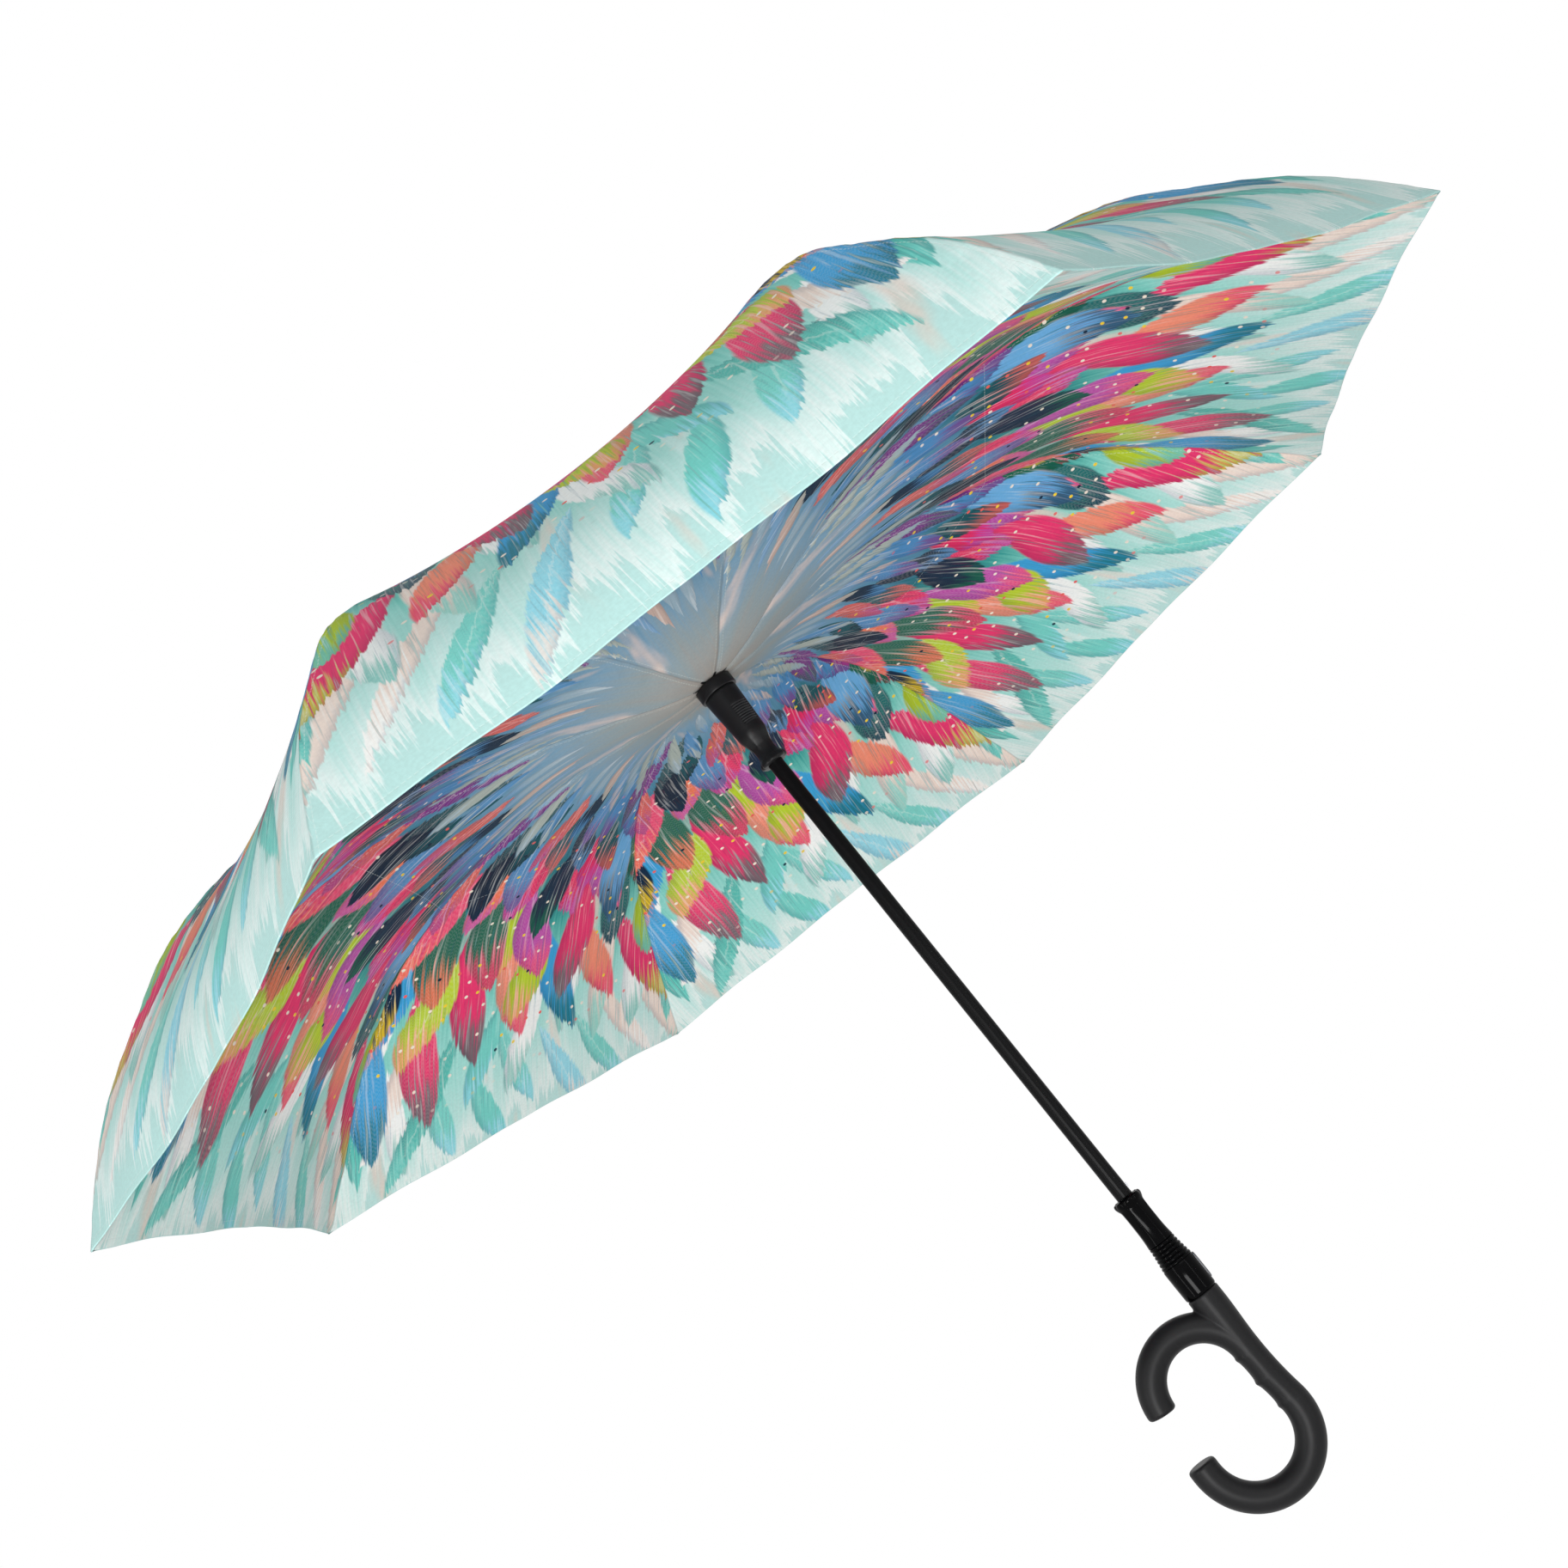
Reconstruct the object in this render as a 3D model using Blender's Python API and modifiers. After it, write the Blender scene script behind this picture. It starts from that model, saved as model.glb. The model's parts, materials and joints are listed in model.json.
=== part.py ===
"""Inverted double-layer umbrella with a C-shaped hook handle, open.

Metres, +Z along the shaft from the handle to the crown. The origin is on the shaft's axis in the
middle of the hand grip. The ribs hinge on the runner, which slides down the shaft to close them
upwards, and the stretchers hinge on the fixed crown notch above it.
"""
import math

import bmesh
import bpy
import numpy as np
from mathutils import Matrix, Vector

# Whole umbrella
RIB_COUNT = 8
FIRST_RIB_ANGLE = math.pi / RIB_COUNT
RIM_RADIUS = 0.530
GRIP_TO_RIM = 0.475
FIT_GAP = 0.0003
CUT_OVERRUN = 0.004
MERGE_DISTANCE = 0.000002
TURNED_MERGE_DISTANCE = 0.00001

# Shaft
SHAFT_RADIUS = 0.0055
SHAFT_WALL = 0.0013
SHAFT_DEPTH_IN_HANDLE = 0.030
ROUND_STEPS = 24

# Linkage
HINGE_RADIUS = 0.012
RUNNER_HINGE_RISE = 0.102
CLOSED_GAP = 0.0024
REST_SLOPE = math.radians(12.5)
CLOSED_SLOPE = math.radians(86.0)
FLEX_BEYOND_RIVET = 0.0454

# Flat links: the inner ribs and the stretchers lie side by side
LINK_THICKNESS = 0.0022
LINK_SIDE_STEP = 0.0019
LINK_HALF_HEIGHT = 0.0016
EYE_RADIUS = 0.0030
EYE_HOLE_RADIUS = 0.0015
RIVET_RADIUS = 0.0020
RIVET_HEAD = 0.0008
EYE_ARC_STEPS = 6
HOLE_STEPS = 12
RIVET_STEPS = 10
WIRE_SIDES = 6
FINE_STEPS = 32

# Flexible outer ribs and their tips
ROD_RADIUS = 0.0016
ROD_DEPTH_UNDER_CANOPY = 0.0050
ROD_STOP_BEFORE_RIM = 0.012
ROD_POINTS = 11
ROD_SIDE_STEP = 0.0013
TONGUE_LENGTH = 0.010
TONGUE_THICKNESS = 0.0010
FLEX_PIN_RADIUS = 0.0009
TIP_RADIUS = 0.0028
TIP_LENGTH = 0.014
TIP_WALL_END = 0.004
TIP_STEPS = 10

# Hinge rings, called notches
NOTCH_RADIUS = 0.0155
NOTCH_HALF_HEIGHT = 0.0035
NOTCH_CORE_RADIUS = 0.0087
NOTCH_FLOOR = 0.0010
SLOT_SIDE_GAP = 0.0004
WIRE_RADIUS = 0.0007

# Fabric, thicker than the real cloth so that it stays a sound solid
FABRIC_THICKNESS = 0.0005
PANEL_GAP = 0.0006
CANOPY_HOLE_RADIUS = 0.0080
OUTER_SAG = 0.013
OUTER_RIM_SCALLOP = 0.012
INNER_SAG = 0.010
INNER_RIM_SCALLOP = 0.012
SCALLOP_POWER = 6
INNER_RIM_INSET = 0.0090
INNER_RIM_DROP = 0.0066
PANEL_STATIONS = 12
PANEL_COLUMNS = 3
# Radius share and height share of the outer canopy along a rib, from the crown to the tip
OUTER_PROFILE_SHARES = (
    (0.0, 1.0), (0.045, 0.992), (0.25, 0.925), (0.45, 0.856), (0.565, 0.803), (0.66, 0.745),
    (0.74, 0.660), (0.82, 0.510), (0.90, 0.335), (0.96, 0.150), (1.0, 0.0))
# The same for the inner canopy, from the runner's collar to the tip
INNER_PROFILE_SHARES = (
    (0.0, 0.0), (0.02, 0.012), (0.13, 0.130), (0.24, 0.225), (0.36, 0.255), (0.48, 0.235),
    (0.62, 0.130), (0.74, -0.100), (0.84, -0.370), (0.92, -0.650), (1.0, -1.0))

# Crown cap over the top notch
CAP_RADIUS = 0.0165
CAP_HEIGHT = 0.0095
CAP_FLAT_RADIUS = 0.0085
CAP_WALL = 0.0015

# Runner, from its top face down
COLLAR_RING_RADIUS = 0.0147
COLLAR_RING_HEIGHT = 0.0090
SLEEVE_WALL = 0.0017
RUNNER_LENGTH = 0.0617
RUNNER_BARREL_RADIUS = 0.0125
RUNNER_TAPER_RADIUS = 0.0107
RUNNER_BARREL_LENGTH = 0.0365
RUNNER_NECK_RADIUS = 0.0077
RUNNER_FLANGE_RADIUS = 0.0104
RUNNER_FLANGE_HEIGHT = 0.0070
RIDGE_COUNT = 11
RIDGE_DEPTH = 0.0005
RIDGE_CREST_SHARE = 0.2
RIDGE_VALLEY_SHARE = 0.7
LATCH_GROOVE_DEPTH = 0.0014
LATCH_GROOVE_HEIGHT = 0.0110
NECK_SIDES = 8

# Handle collar, from the handle's top up
COLLAR_BASE_HEIGHT = 0.063
COLLAR_LENGTH = 0.074
COLLAR_BARREL_RADIUS = 0.0108
COLLAR_BARREL_LENGTH = 0.0230
COLLAR_RING_ZONE = 0.0160
COLLAR_RING_COUNT = 6
COLLAR_RING_RADIUS_TOP = 0.0093
COLLAR_NECK_RADIUS = 0.0083
COLLAR_NECK_LENGTH = 0.0230
COLLAR_FLANGE_RADIUS = 0.0100
FLANGE_BEVEL_SHARE = 0.33

# Push button, its spring and the latch that it works
BUTTON_HEIGHT = 0.019
BUTTON_WIDTH = 0.0080
BUTTON_DEPTH = 0.0036
BUTTON_PROUD = 0.0012
BUTTON_ABOVE_COLLAR_BASE = 0.0135
BUTTON_POCKET_DEPTH = 0.0038
STEM_RADIUS = 0.0011
STEM_GAP = 0.0003
BUTTON_SPRING_RADIUS = 0.0026
BUTTON_SPRING_WALL = 0.0008
LATCH_STRIP_THICKNESS = 0.0010
LATCH_WIDTH = 0.0026
NOSE_WIDTH_SHARE = 0.9
LATCH_NOSE_HEIGHT = 0.0030
LATCH_NOSE_REACH = 0.0064
LATCH_LIP = 0.0012
LATCH_STRIP_FACE = 0.0030

# Opening spring in the shaft
SPRING_RADIUS = 0.0037
SPRING_WALL = 0.0010
SPRING_LENGTH = 0.300
SPRING_FOOT_ABOVE_COLLAR = 0.020

# C-shaped hook handle, in the XZ plane with its mouth towards -X
HANDLE_TUBE_RADIUS = 0.0094
HANDLE_STEM_TOP_RADIUS = 0.0106
HANDLE_STEM_PROFILE = ((1.0, 1.0), (0.82, 0.93), (0.47, 0.60), (0.20, 0.12), (0.0, -0.02))
STEM_ROOT_RADIUS_SHARE = 0.85
HOOK_RADIUS = 0.033
HOOK_BELOW_COLLAR = 0.043
LOWER_HOOK_RADIUS = 0.0352
LOWER_HOOK_DEPTH = 0.022
LOWER_END_RISE = 0.0065
GRIP_LEAN = math.radians(9)
HOOK_ARC_STEPS = 14
GRIP_STEPS = 4
GROOVE_HEIGHTS = (0.0275, 0.0100, -0.0075)
GROOVE_RADIUS = 0.0075
GROOVE_DEPTH = 0.0012

# Levels and radii that follow from the sizes above
RIM_HEIGHT = GRIP_TO_RIM
RUNNER_HINGE_HEIGHT = RIM_HEIGHT + RUNNER_HINGE_RISE
RUNNER_NOTCH_BASE = RUNNER_HINGE_HEIGHT - NOTCH_HALF_HEIGHT - NOTCH_FLOOR
INNER_FABRIC_HEIGHT = RUNNER_NOTCH_BASE - FIT_GAP
RUNNER_RING_TOP = INNER_FABRIC_HEIGHT - FABRIC_THICKNESS - FIT_GAP
RUNNER_TOP = RUNNER_RING_TOP - COLLAR_RING_HEIGHT - FIT_GAP
RUNNER_BOTTOM = RUNNER_TOP - RUNNER_LENGTH
COLLAR_TOP = COLLAR_BASE_HEIGHT + COLLAR_LENGTH
RUNNER_TRAVEL = RUNNER_BOTTOM - COLLAR_TOP - CLOSED_GAP
LINK_LENGTH = RUNNER_TRAVEL / (2 * (math.sin(CLOSED_SLOPE) - math.sin(REST_SLOPE)))
FLEX_RADIUS = HINGE_RADIUS + LINK_LENGTH * math.cos(REST_SLOPE) + FLEX_BEYOND_RIVET
NOTCH_HINGE_HEIGHT = RUNNER_HINGE_HEIGHT + 2 * LINK_LENGTH * math.sin(REST_SLOPE)
CROWN_FABRIC_HEIGHT = NOTCH_HINGE_HEIGHT + NOTCH_HALF_HEIGHT + FIT_GAP + FABRIC_THICKNESS
CANOPY_RISE = CROWN_FABRIC_HEIGHT - RIM_HEIGHT
BUTTON_CENTRE_HEIGHT = COLLAR_BASE_HEIGHT + BUTTON_ABOVE_COLLAR_BASE
UPPER_HOOK_HEIGHT = COLLAR_BASE_HEIGHT - HOOK_BELOW_COLLAR
LOWER_HOOK_START = -LOWER_HOOK_DEPTH + LOWER_HOOK_RADIUS * math.sin(GRIP_LEAN)
GRIP_LENGTH = UPPER_HOOK_HEIGHT - LOWER_HOOK_START
GRIP_SWING = GRIP_LENGTH * math.tan(GRIP_LEAN) / 2
BORE_RADIUS = SHAFT_RADIUS + FIT_GAP
SLEEVE_RADIUS = BORE_RADIUS + SLEEVE_WALL
HALF_PANEL = math.pi / RIB_COUNT
CLAMP_RADIUS = NOTCH_RADIUS + 2 * SLOT_SIDE_GAP
INNER_CANOPY_HOLE = (SLEEVE_RADIUS + 2 * FIT_GAP) / math.cos(HALF_PANEL)**2


def clear_scene():
    """Remove every object, so that the model starts from nothing."""
    for old in list(bpy.data.objects):
        bpy.data.objects.remove(old, do_unlink=True)


def collection(name):
    """A collection linked to the scene."""
    group = bpy.data.collections.new(name)
    bpy.context.scene.collection.children.link(group)
    return group


def material(name, colour, roughness, metallic=0.0):
    """A Principled material with one colour."""
    made = bpy.data.materials.new(name)
    made.use_nodes = True
    shader = made.node_tree.nodes["Principled BSDF"]
    shader.inputs["Base Color"].default_value = (*colour, 1.0)
    shader.inputs["Roughness"].default_value = roughness
    shader.inputs["Metallic"].default_value = metallic
    return made


def mesh_object(name, mesh, group, finish=None):
    """An object with this mesh in a collection."""
    made = bpy.data.objects.new(name, mesh)
    group.objects.link(made)
    if finish is not None and not mesh.materials:
        mesh.materials.append(finish)
    return made


def cutter(name, mesh):
    """A helper object for a Boolean, which isn't a piece of the umbrella."""
    made = mesh_object(name, mesh, CUTTERS)
    made.hide_render = True
    made.display_type = "WIRE"
    return made


def mesh_from(name, build):
    """A mesh filled by a function that works on a bmesh."""
    mesh = bpy.data.meshes.new(name)
    shape = bmesh.new()
    build(shape)
    shape.to_mesh(mesh)
    shape.free()
    return mesh


def box_mesh(name, low, high):
    """An axis-aligned box between two corners."""
    size = [top - bottom for bottom, top in zip(low, high)]
    middle = Vector([(top + bottom) / 2 for bottom, top in zip(low, high)])
    place = Matrix.Translation(middle) @ Matrix.Diagonal((*size, 1.0))
    return mesh_from(name, lambda shape: bmesh.ops.create_cube(shape, size=1.0, matrix=place))


def rod_mesh(name, start, end, radius, steps):
    """A cylinder between two points."""
    start, end = Vector(start), Vector(end)
    along = end - start
    turn = along.to_track_quat("Z", "Y").to_matrix().to_4x4()
    place = Matrix.Translation((start + end) / 2) @ turn
    return mesh_from(name, lambda shape: bmesh.ops.create_cone(
        shape, cap_ends=True, segments=steps, radius1=radius, radius2=radius,
        depth=along.length, matrix=place))


def evaluated_mesh(source, name):
    """The mesh of an object with its modifiers applied, with doubles merged, in world space."""
    bpy.context.view_layer.update()
    graph = bpy.context.evaluated_depsgraph_get()
    mesh = bpy.data.meshes.new_from_object(source.evaluated_get(graph), depsgraph=graph)
    mesh.name = name
    mesh.transform(source.matrix_world)
    shape = bmesh.new()
    shape.from_mesh(mesh)
    bmesh.ops.remove_doubles(shape, verts=shape.verts, dist=MERGE_DISTANCE)
    shape.to_mesh(mesh)
    shape.free()
    bpy.data.objects.remove(source, do_unlink=True)
    return mesh


def boolean(base_mesh, name, joined=(), cut=()):
    """The union of a base with some meshes, less some others."""
    base = mesh_object(name, base_mesh, CUTTERS)
    helpers = []
    for operation, meshes in (("UNION", joined), ("DIFFERENCE", cut)):
        for mesh in meshes:
            helper = cutter(f"{name}_{operation.lower()}", mesh)
            helpers.append(helper)
            step = base.modifiers.new(operation.title(), "BOOLEAN")
            step.operation = operation
            step.object = helper
    result = evaluated_mesh(base, name)
    for helper in helpers:
        bpy.data.objects.remove(helper, do_unlink=True)
    return result


def turned_mesh(name, profile, steps, closed=False):
    """A profile of radius and height turned about Z, its outer side from top to bottom."""
    mesh = bpy.data.meshes.new(name)
    points = [(radius, 0.0, height) for radius, height in profile]
    edges = [(i, i + 1) for i in range(len(points) - 1)]
    if closed:
        edges.append((len(points) - 1, 0))
    mesh.from_pydata(points, edges, [])
    source = mesh_object(name, mesh, CUTTERS)
    screw = source.modifiers.new("Screw", "SCREW")
    screw.steps = steps
    screw.render_steps = steps
    screw.use_merge_vertices = True
    screw.merge_threshold = TURNED_MERGE_DISTANCE
    return evaluated_mesh(source, name)


def shade(mesh, angle=math.radians(35)):
    """Smooth shading with sharp edges kept."""
    mesh.shade_smooth()
    mesh.set_sharp_from_angle(angle=angle)


def tube_mesh(name, points, radius, resolution):
    """A round tube along points, with closed ends."""
    curve = bpy.data.curves.new(name, "CURVE")
    curve.dimensions = "3D"
    curve.bevel_depth = radius
    curve.bevel_resolution = resolution
    curve.use_fill_caps = True
    line = curve.splines.new("POLY")
    line.points.add(len(points) - 1)
    for point, place in zip(line.points, points):
        point.co = (*place, 1.0)
    source = bpy.data.objects.new(name, curve)
    CUTTERS.objects.link(source)
    return evaluated_mesh(source, name)


def plate_mesh(name, outlines, thickness, centre):
    """Flat closed outlines in XZ, holes included, given a thickness along Y about a centre."""
    curve = bpy.data.curves.new(name, "CURVE")
    curve.dimensions = "2D"
    curve.fill_mode = "BOTH"
    curve.extrude = thickness / 2
    for outline in outlines:
        line = curve.splines.new("POLY")
        line.points.add(len(outline) - 1)
        line.use_cyclic_u = True
        for point, (along, up) in zip(line.points, outline):
            point.co = (along, up, 0.0, 1.0)
    source = bpy.data.objects.new(name, curve)
    CUTTERS.objects.link(source)
    source.matrix_world = Matrix.Translation((0.0, centre, 0.0)) @ Matrix.Rotation(math.pi / 2, 4, "X")
    return evaluated_mesh(source, name)


def circle(centre, radius, steps):
    """Points of a circle."""
    turn = 2 * math.pi / steps
    return [(centre + radius * math.cos(k * turn), radius * math.sin(k * turn)) for k in range(steps)]


def link_outline(length, end_radius, half_height):
    """A bar along +X with a round eye at each end, as one outline."""
    reach = math.asin(half_height / end_radius)
    near = np.linspace(reach, 2 * math.pi - reach, 2 * EYE_ARC_STEPS)
    far = np.linspace(-math.pi + reach, math.pi - reach, 2 * EYE_ARC_STEPS)
    points = [(end_radius * math.cos(a), end_radius * math.sin(a)) for a in near]
    points += [(length + end_radius * math.cos(a), end_radius * math.sin(a)) for a in far]
    return points


def smooth_profile(shares, count):
    """Evenly spaced points on a smooth curve through pairs of shares."""
    table = np.array(shares)
    steps = np.hypot(*np.diff(table, axis=0).T)
    place = np.concatenate([[0.0], np.cumsum(steps)])
    slopes = np.gradient(table, place, axis=0)
    wanted = np.linspace(0.0, place[-1], count)
    cell = np.clip(np.searchsorted(place, wanted, side="right") - 1, 0, len(place) - 2)
    width = (place[cell + 1] - place[cell])[:, None]
    t = ((wanted - place[cell]) / (place[cell + 1] - place[cell]))[:, None]
    start, end = table[cell], table[cell + 1]
    return (
        (2 * t**3 - 3 * t**2 + 1) * start + (t**3 - 2 * t**2 + t) * width * slopes[cell]
        + (3 * t**2 - 2 * t**3) * end + (t**3 - t**2) * width * slopes[cell + 1])


def outer_rib_line(count):
    """Radius and height of the outer canopy along a rib, flat where the cap clamps it."""
    line = smooth_profile(OUTER_PROFILE_SHARES, count - 1)
    radius = CLAMP_RADIUS + (RIM_RADIUS - CLAMP_RADIUS) * line[:, 0]
    height = np.minimum(RIM_HEIGHT + CANOPY_RISE * line[:, 1], CROWN_FABRIC_HEIGHT)
    return np.vstack([(CANOPY_HOLE_RADIUS, CROWN_FABRIC_HEIGHT), np.column_stack([radius, height])])


def inner_rib_line(count):
    """Radius and height of the inner canopy along a rib, flat where the runner clamps it."""
    line = smooth_profile(INNER_PROFILE_SHARES, count - 1)
    fall = INNER_FABRIC_HEIGHT - (RIM_HEIGHT - INNER_RIM_DROP)
    radius = CLAMP_RADIUS + (RIM_RADIUS - INNER_RIM_INSET - CLAMP_RADIUS) * line[:, 0]
    height = INNER_FABRIC_HEIGHT + fall * line[:, 1]
    return np.vstack([(INNER_CANOPY_HOLE, INNER_FABRIC_HEIGHT), np.column_stack([radius, height])])


def rib_matrix(index, radius, height):
    """The place of a hinge on rib number index: +X outwards, +Z up."""
    turn = Matrix.Rotation(FIRST_RIB_ANGLE + 2 * HALF_PANEL * index, 4, "Z")
    return turn @ Matrix.Translation((radius, 0.0, height))


def copies_on_ribs(name, mesh, finish, radius, height):
    """One object for each rib, all on one mesh whose origin is on the hinge."""
    shade(mesh)
    mesh.materials.clear()
    for index in range(RIB_COUNT):
        piece = mesh_object(f"{name}_{index + 1}", mesh, PARTS, finish)
        piece.matrix_world = rib_matrix(index, radius, height)


def single_piece(name, mesh, finish, origin=(0.0, 0.0, 0.0)):
    """One object with its origin at a point."""
    shade(mesh)
    mesh.transform(Matrix.Translation(-Vector(origin)))
    mesh.materials.clear()
    piece = mesh_object(name, mesh, PARTS, finish)
    piece.location = origin


def panel_mesh(name, rib_line, sag, scallop, hinge_radius, hinge_height, below):
    """The cloth around one rib, out to the middle of the panels on both sides.

    Across a panel the cloth follows the straight chord between two ribs. A sag pulls its
    middle inwards and down between crown and rim, and a scallop draws the rim's middle inwards.
    """
    stations = len(rib_line)
    columns = np.linspace(-1.0, 1.0, 2 * PANEL_COLUMNS + 1)
    half_turn = 2 * HALF_PANEL
    points = []
    for row, (radius, height) in enumerate(rib_line):
        share = row / (stations - 1)
        side = radius * math.sin(half_turn) / 2
        inward = radius * (1 - math.cos(half_turn)) / 2
        pull = sag * math.sin(math.pi * share) ** 2 + scallop * share**SCALLOP_POWER if row > 1 else 0.0
        for column in columns:
            bow = 1 - (1 - abs(column)) ** 2
            out = radius - inward * abs(column) - pull * bow * math.sin(math.pi / 4)
            down = sag * bow * math.sin(math.pi * share) ** 2 if row > 1 else 0.0
            edge = out * math.tan(HALF_PANEL) - PANEL_GAP / (2 * math.cos(HALF_PANEL))
            across = column * min(side, edge) if abs(column) < 1.0 else column * edge
            points.append((out - hinge_radius, across, height - down - hinge_height))
    wide = len(columns)
    faces = [
        (r * wide + c, (r + 1) * wide + c, (r + 1) * wide + c + 1, r * wide + c + 1)
        for r in range(stations - 1) for c in range(wide - 1)]
    mesh = bpy.data.meshes.new(name)
    mesh.from_pydata(points, [], faces)
    source = mesh_object(name, mesh, CUTTERS)
    wall = source.modifiers.new("Solidify", "SOLIDIFY")
    wall.thickness = FABRIC_THICKNESS
    wall.offset = -1.0 if below else 1.0
    return evaluated_mesh(source, name)


def add_canopies(finishes):
    """Eight outer and eight inner pieces of cloth, each centred on its rib."""
    outer = panel_mesh("outer_canopy", outer_rib_line(PANEL_STATIONS), OUTER_SAG,
                       OUTER_RIM_SCALLOP, HINGE_RADIUS, RUNNER_HINGE_HEIGHT, True)
    copies_on_ribs("outer_canopy", outer, finishes["outer"], HINGE_RADIUS, RUNNER_HINGE_HEIGHT)
    inner = panel_mesh("inner_canopy", inner_rib_line(PANEL_STATIONS), INNER_SAG,
                       INNER_RIM_SCALLOP, HINGE_RADIUS, RUNNER_HINGE_HEIGHT, True)
    copies_on_ribs("inner_canopy", inner, finishes["inner"], HINGE_RADIUS, RUNNER_HINGE_HEIGHT)


def rivet_meshes(along, side):
    """The head of a rivet on the outer face of a link, on the side that its sign gives."""
    face = side * (LINK_SIDE_STEP + LINK_THICKNESS / 2)
    start = (along, face - side * LINK_THICKNESS / 2, 0.0)
    return [rod_mesh("rivet", start, (along, face + side * RIVET_HEAD, 0.0), RIVET_RADIUS,
                     RIVET_STEPS)]


def add_inner_ribs(finish):
    """Flat ribs that hinge on the runner and carry the flexible outer ribs."""
    length = (FLEX_RADIUS - HINGE_RADIUS) / math.cos(REST_SLOPE)
    outlines = [link_outline(length, EYE_RADIUS, LINK_HALF_HEIGHT),
                circle(0.0, EYE_HOLE_RADIUS, HOLE_STEPS), circle(length, EYE_HOLE_RADIUS, HOLE_STEPS)]
    plate = plate_mesh("rib_plate", outlines, LINK_THICKNESS, -LINK_SIDE_STEP)
    mesh = boolean(plate, "rib", joined=rivet_meshes(LINK_LENGTH, -1))
    mesh.transform(Matrix.Rotation(-REST_SLOPE, 4, "Y"))
    copies_on_ribs("rib", mesh, finish, HINGE_RADIUS, RUNNER_HINGE_HEIGHT)


def add_stretchers(finish):
    """Flat links from the crown notch down to the middle of each rib."""
    outlines = [link_outline(LINK_LENGTH, EYE_RADIUS, LINK_HALF_HEIGHT),
                circle(0.0, EYE_HOLE_RADIUS, HOLE_STEPS)]
    plate = plate_mesh("stretcher_plate", outlines, LINK_THICKNESS, LINK_SIDE_STEP)
    mesh = boolean(plate, "stretcher", joined=rivet_meshes(LINK_LENGTH, 1))
    mesh.transform(Matrix.Rotation(REST_SLOPE, 4, "Y"))
    copies_on_ribs("stretcher", mesh, finish, HINGE_RADIUS, NOTCH_HINGE_HEIGHT)


def rod_line():
    """The curved outer rib: from the flex pivot, then under the canopy, almost to the rim."""
    fine = outer_rib_line(240)
    step = np.gradient(fine, axis=0)
    step /= np.linalg.norm(step, axis=1)[:, None]
    under = fine + ROD_DEPTH_UNDER_CANOPY * np.column_stack([step[:, 1], -step[:, 0]])
    flex = np.array([FLEX_RADIUS, flex_height()])
    from_tip = np.linalg.norm(under - under[-1], axis=1)
    inside = (under[:, 0] > FLEX_RADIUS + 3 * TONGUE_LENGTH) & (from_tip > ROD_STOP_BEFORE_RIM)
    path = np.vstack([flex, under[inside]])
    place = np.concatenate([[0.0], np.cumsum(np.linalg.norm(np.diff(path, axis=0), axis=1))])
    first = EYE_RADIUS + 4 * FIT_GAP
    wanted = np.linspace(first, place[-1], ROD_POINTS)
    return np.column_stack([np.interp(wanted, place, path[:, k]) for k in range(2)]) - flex


def flex_height():
    """The height of the pivot between an inner and an outer rib."""
    return RUNNER_HINGE_HEIGHT + (FLEX_RADIUS - HINGE_RADIUS) * math.tan(REST_SLOPE)


def add_outer_ribs(finish, tip_finish):
    """Flexible rods with a flat tongue and pin at the flex pivot, and a cap on each end."""
    line = rod_line()
    rod = tube_mesh("rod", [(x, -ROD_SIDE_STEP, z) for x, z in line], ROD_RADIUS, 1)
    tongue = plate_mesh("tongue", [link_outline(TONGUE_LENGTH, EYE_RADIUS, LINK_HALF_HEIGHT)],
                        TONGUE_THICKNESS, 0.0)
    slope = math.atan2(line[1][1] - line[0][1], line[1][0] - line[0][0])
    tongue.transform(Matrix.Rotation(-slope, 4, "Y"))
    pin = rod_mesh("flex_pin", (0.0, 0.0, 0.0), (0.0, -LINK_SIDE_STEP - LINK_THICKNESS / 2, 0.0),
                   FLEX_PIN_RADIUS, HOLE_STEPS)
    mesh = boolean(rod, "outer_rib", joined=[tongue, pin])
    copies_on_ribs("outer_rib", mesh, finish, FLEX_RADIUS, flex_height())
    before, end = [Vector((x, -ROD_SIDE_STEP, z)) for x, z in line[-2:]]
    along = (end - before).normalized()
    bore = ROD_RADIUS + FIT_GAP
    floor = TIP_LENGTH - TIP_WALL_END
    profile = [(0.0, TIP_LENGTH), (TIP_RADIUS / 2, TIP_LENGTH), (TIP_RADIUS, floor),
               (TIP_RADIUS, 0.0), (bore, 0.0), (bore, floor), (0.0, floor)]
    tip = turned_mesh("rib_tip", profile, TIP_STEPS)
    seat = end - along * (floor - FIT_GAP)
    tip.transform(Matrix.Translation(seat) @ along.to_track_quat("Z", "Y").to_matrix().to_4x4())
    copies_on_ribs("rib_tip", tip, tip_finish, FLEX_RADIUS, flex_height())


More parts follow.
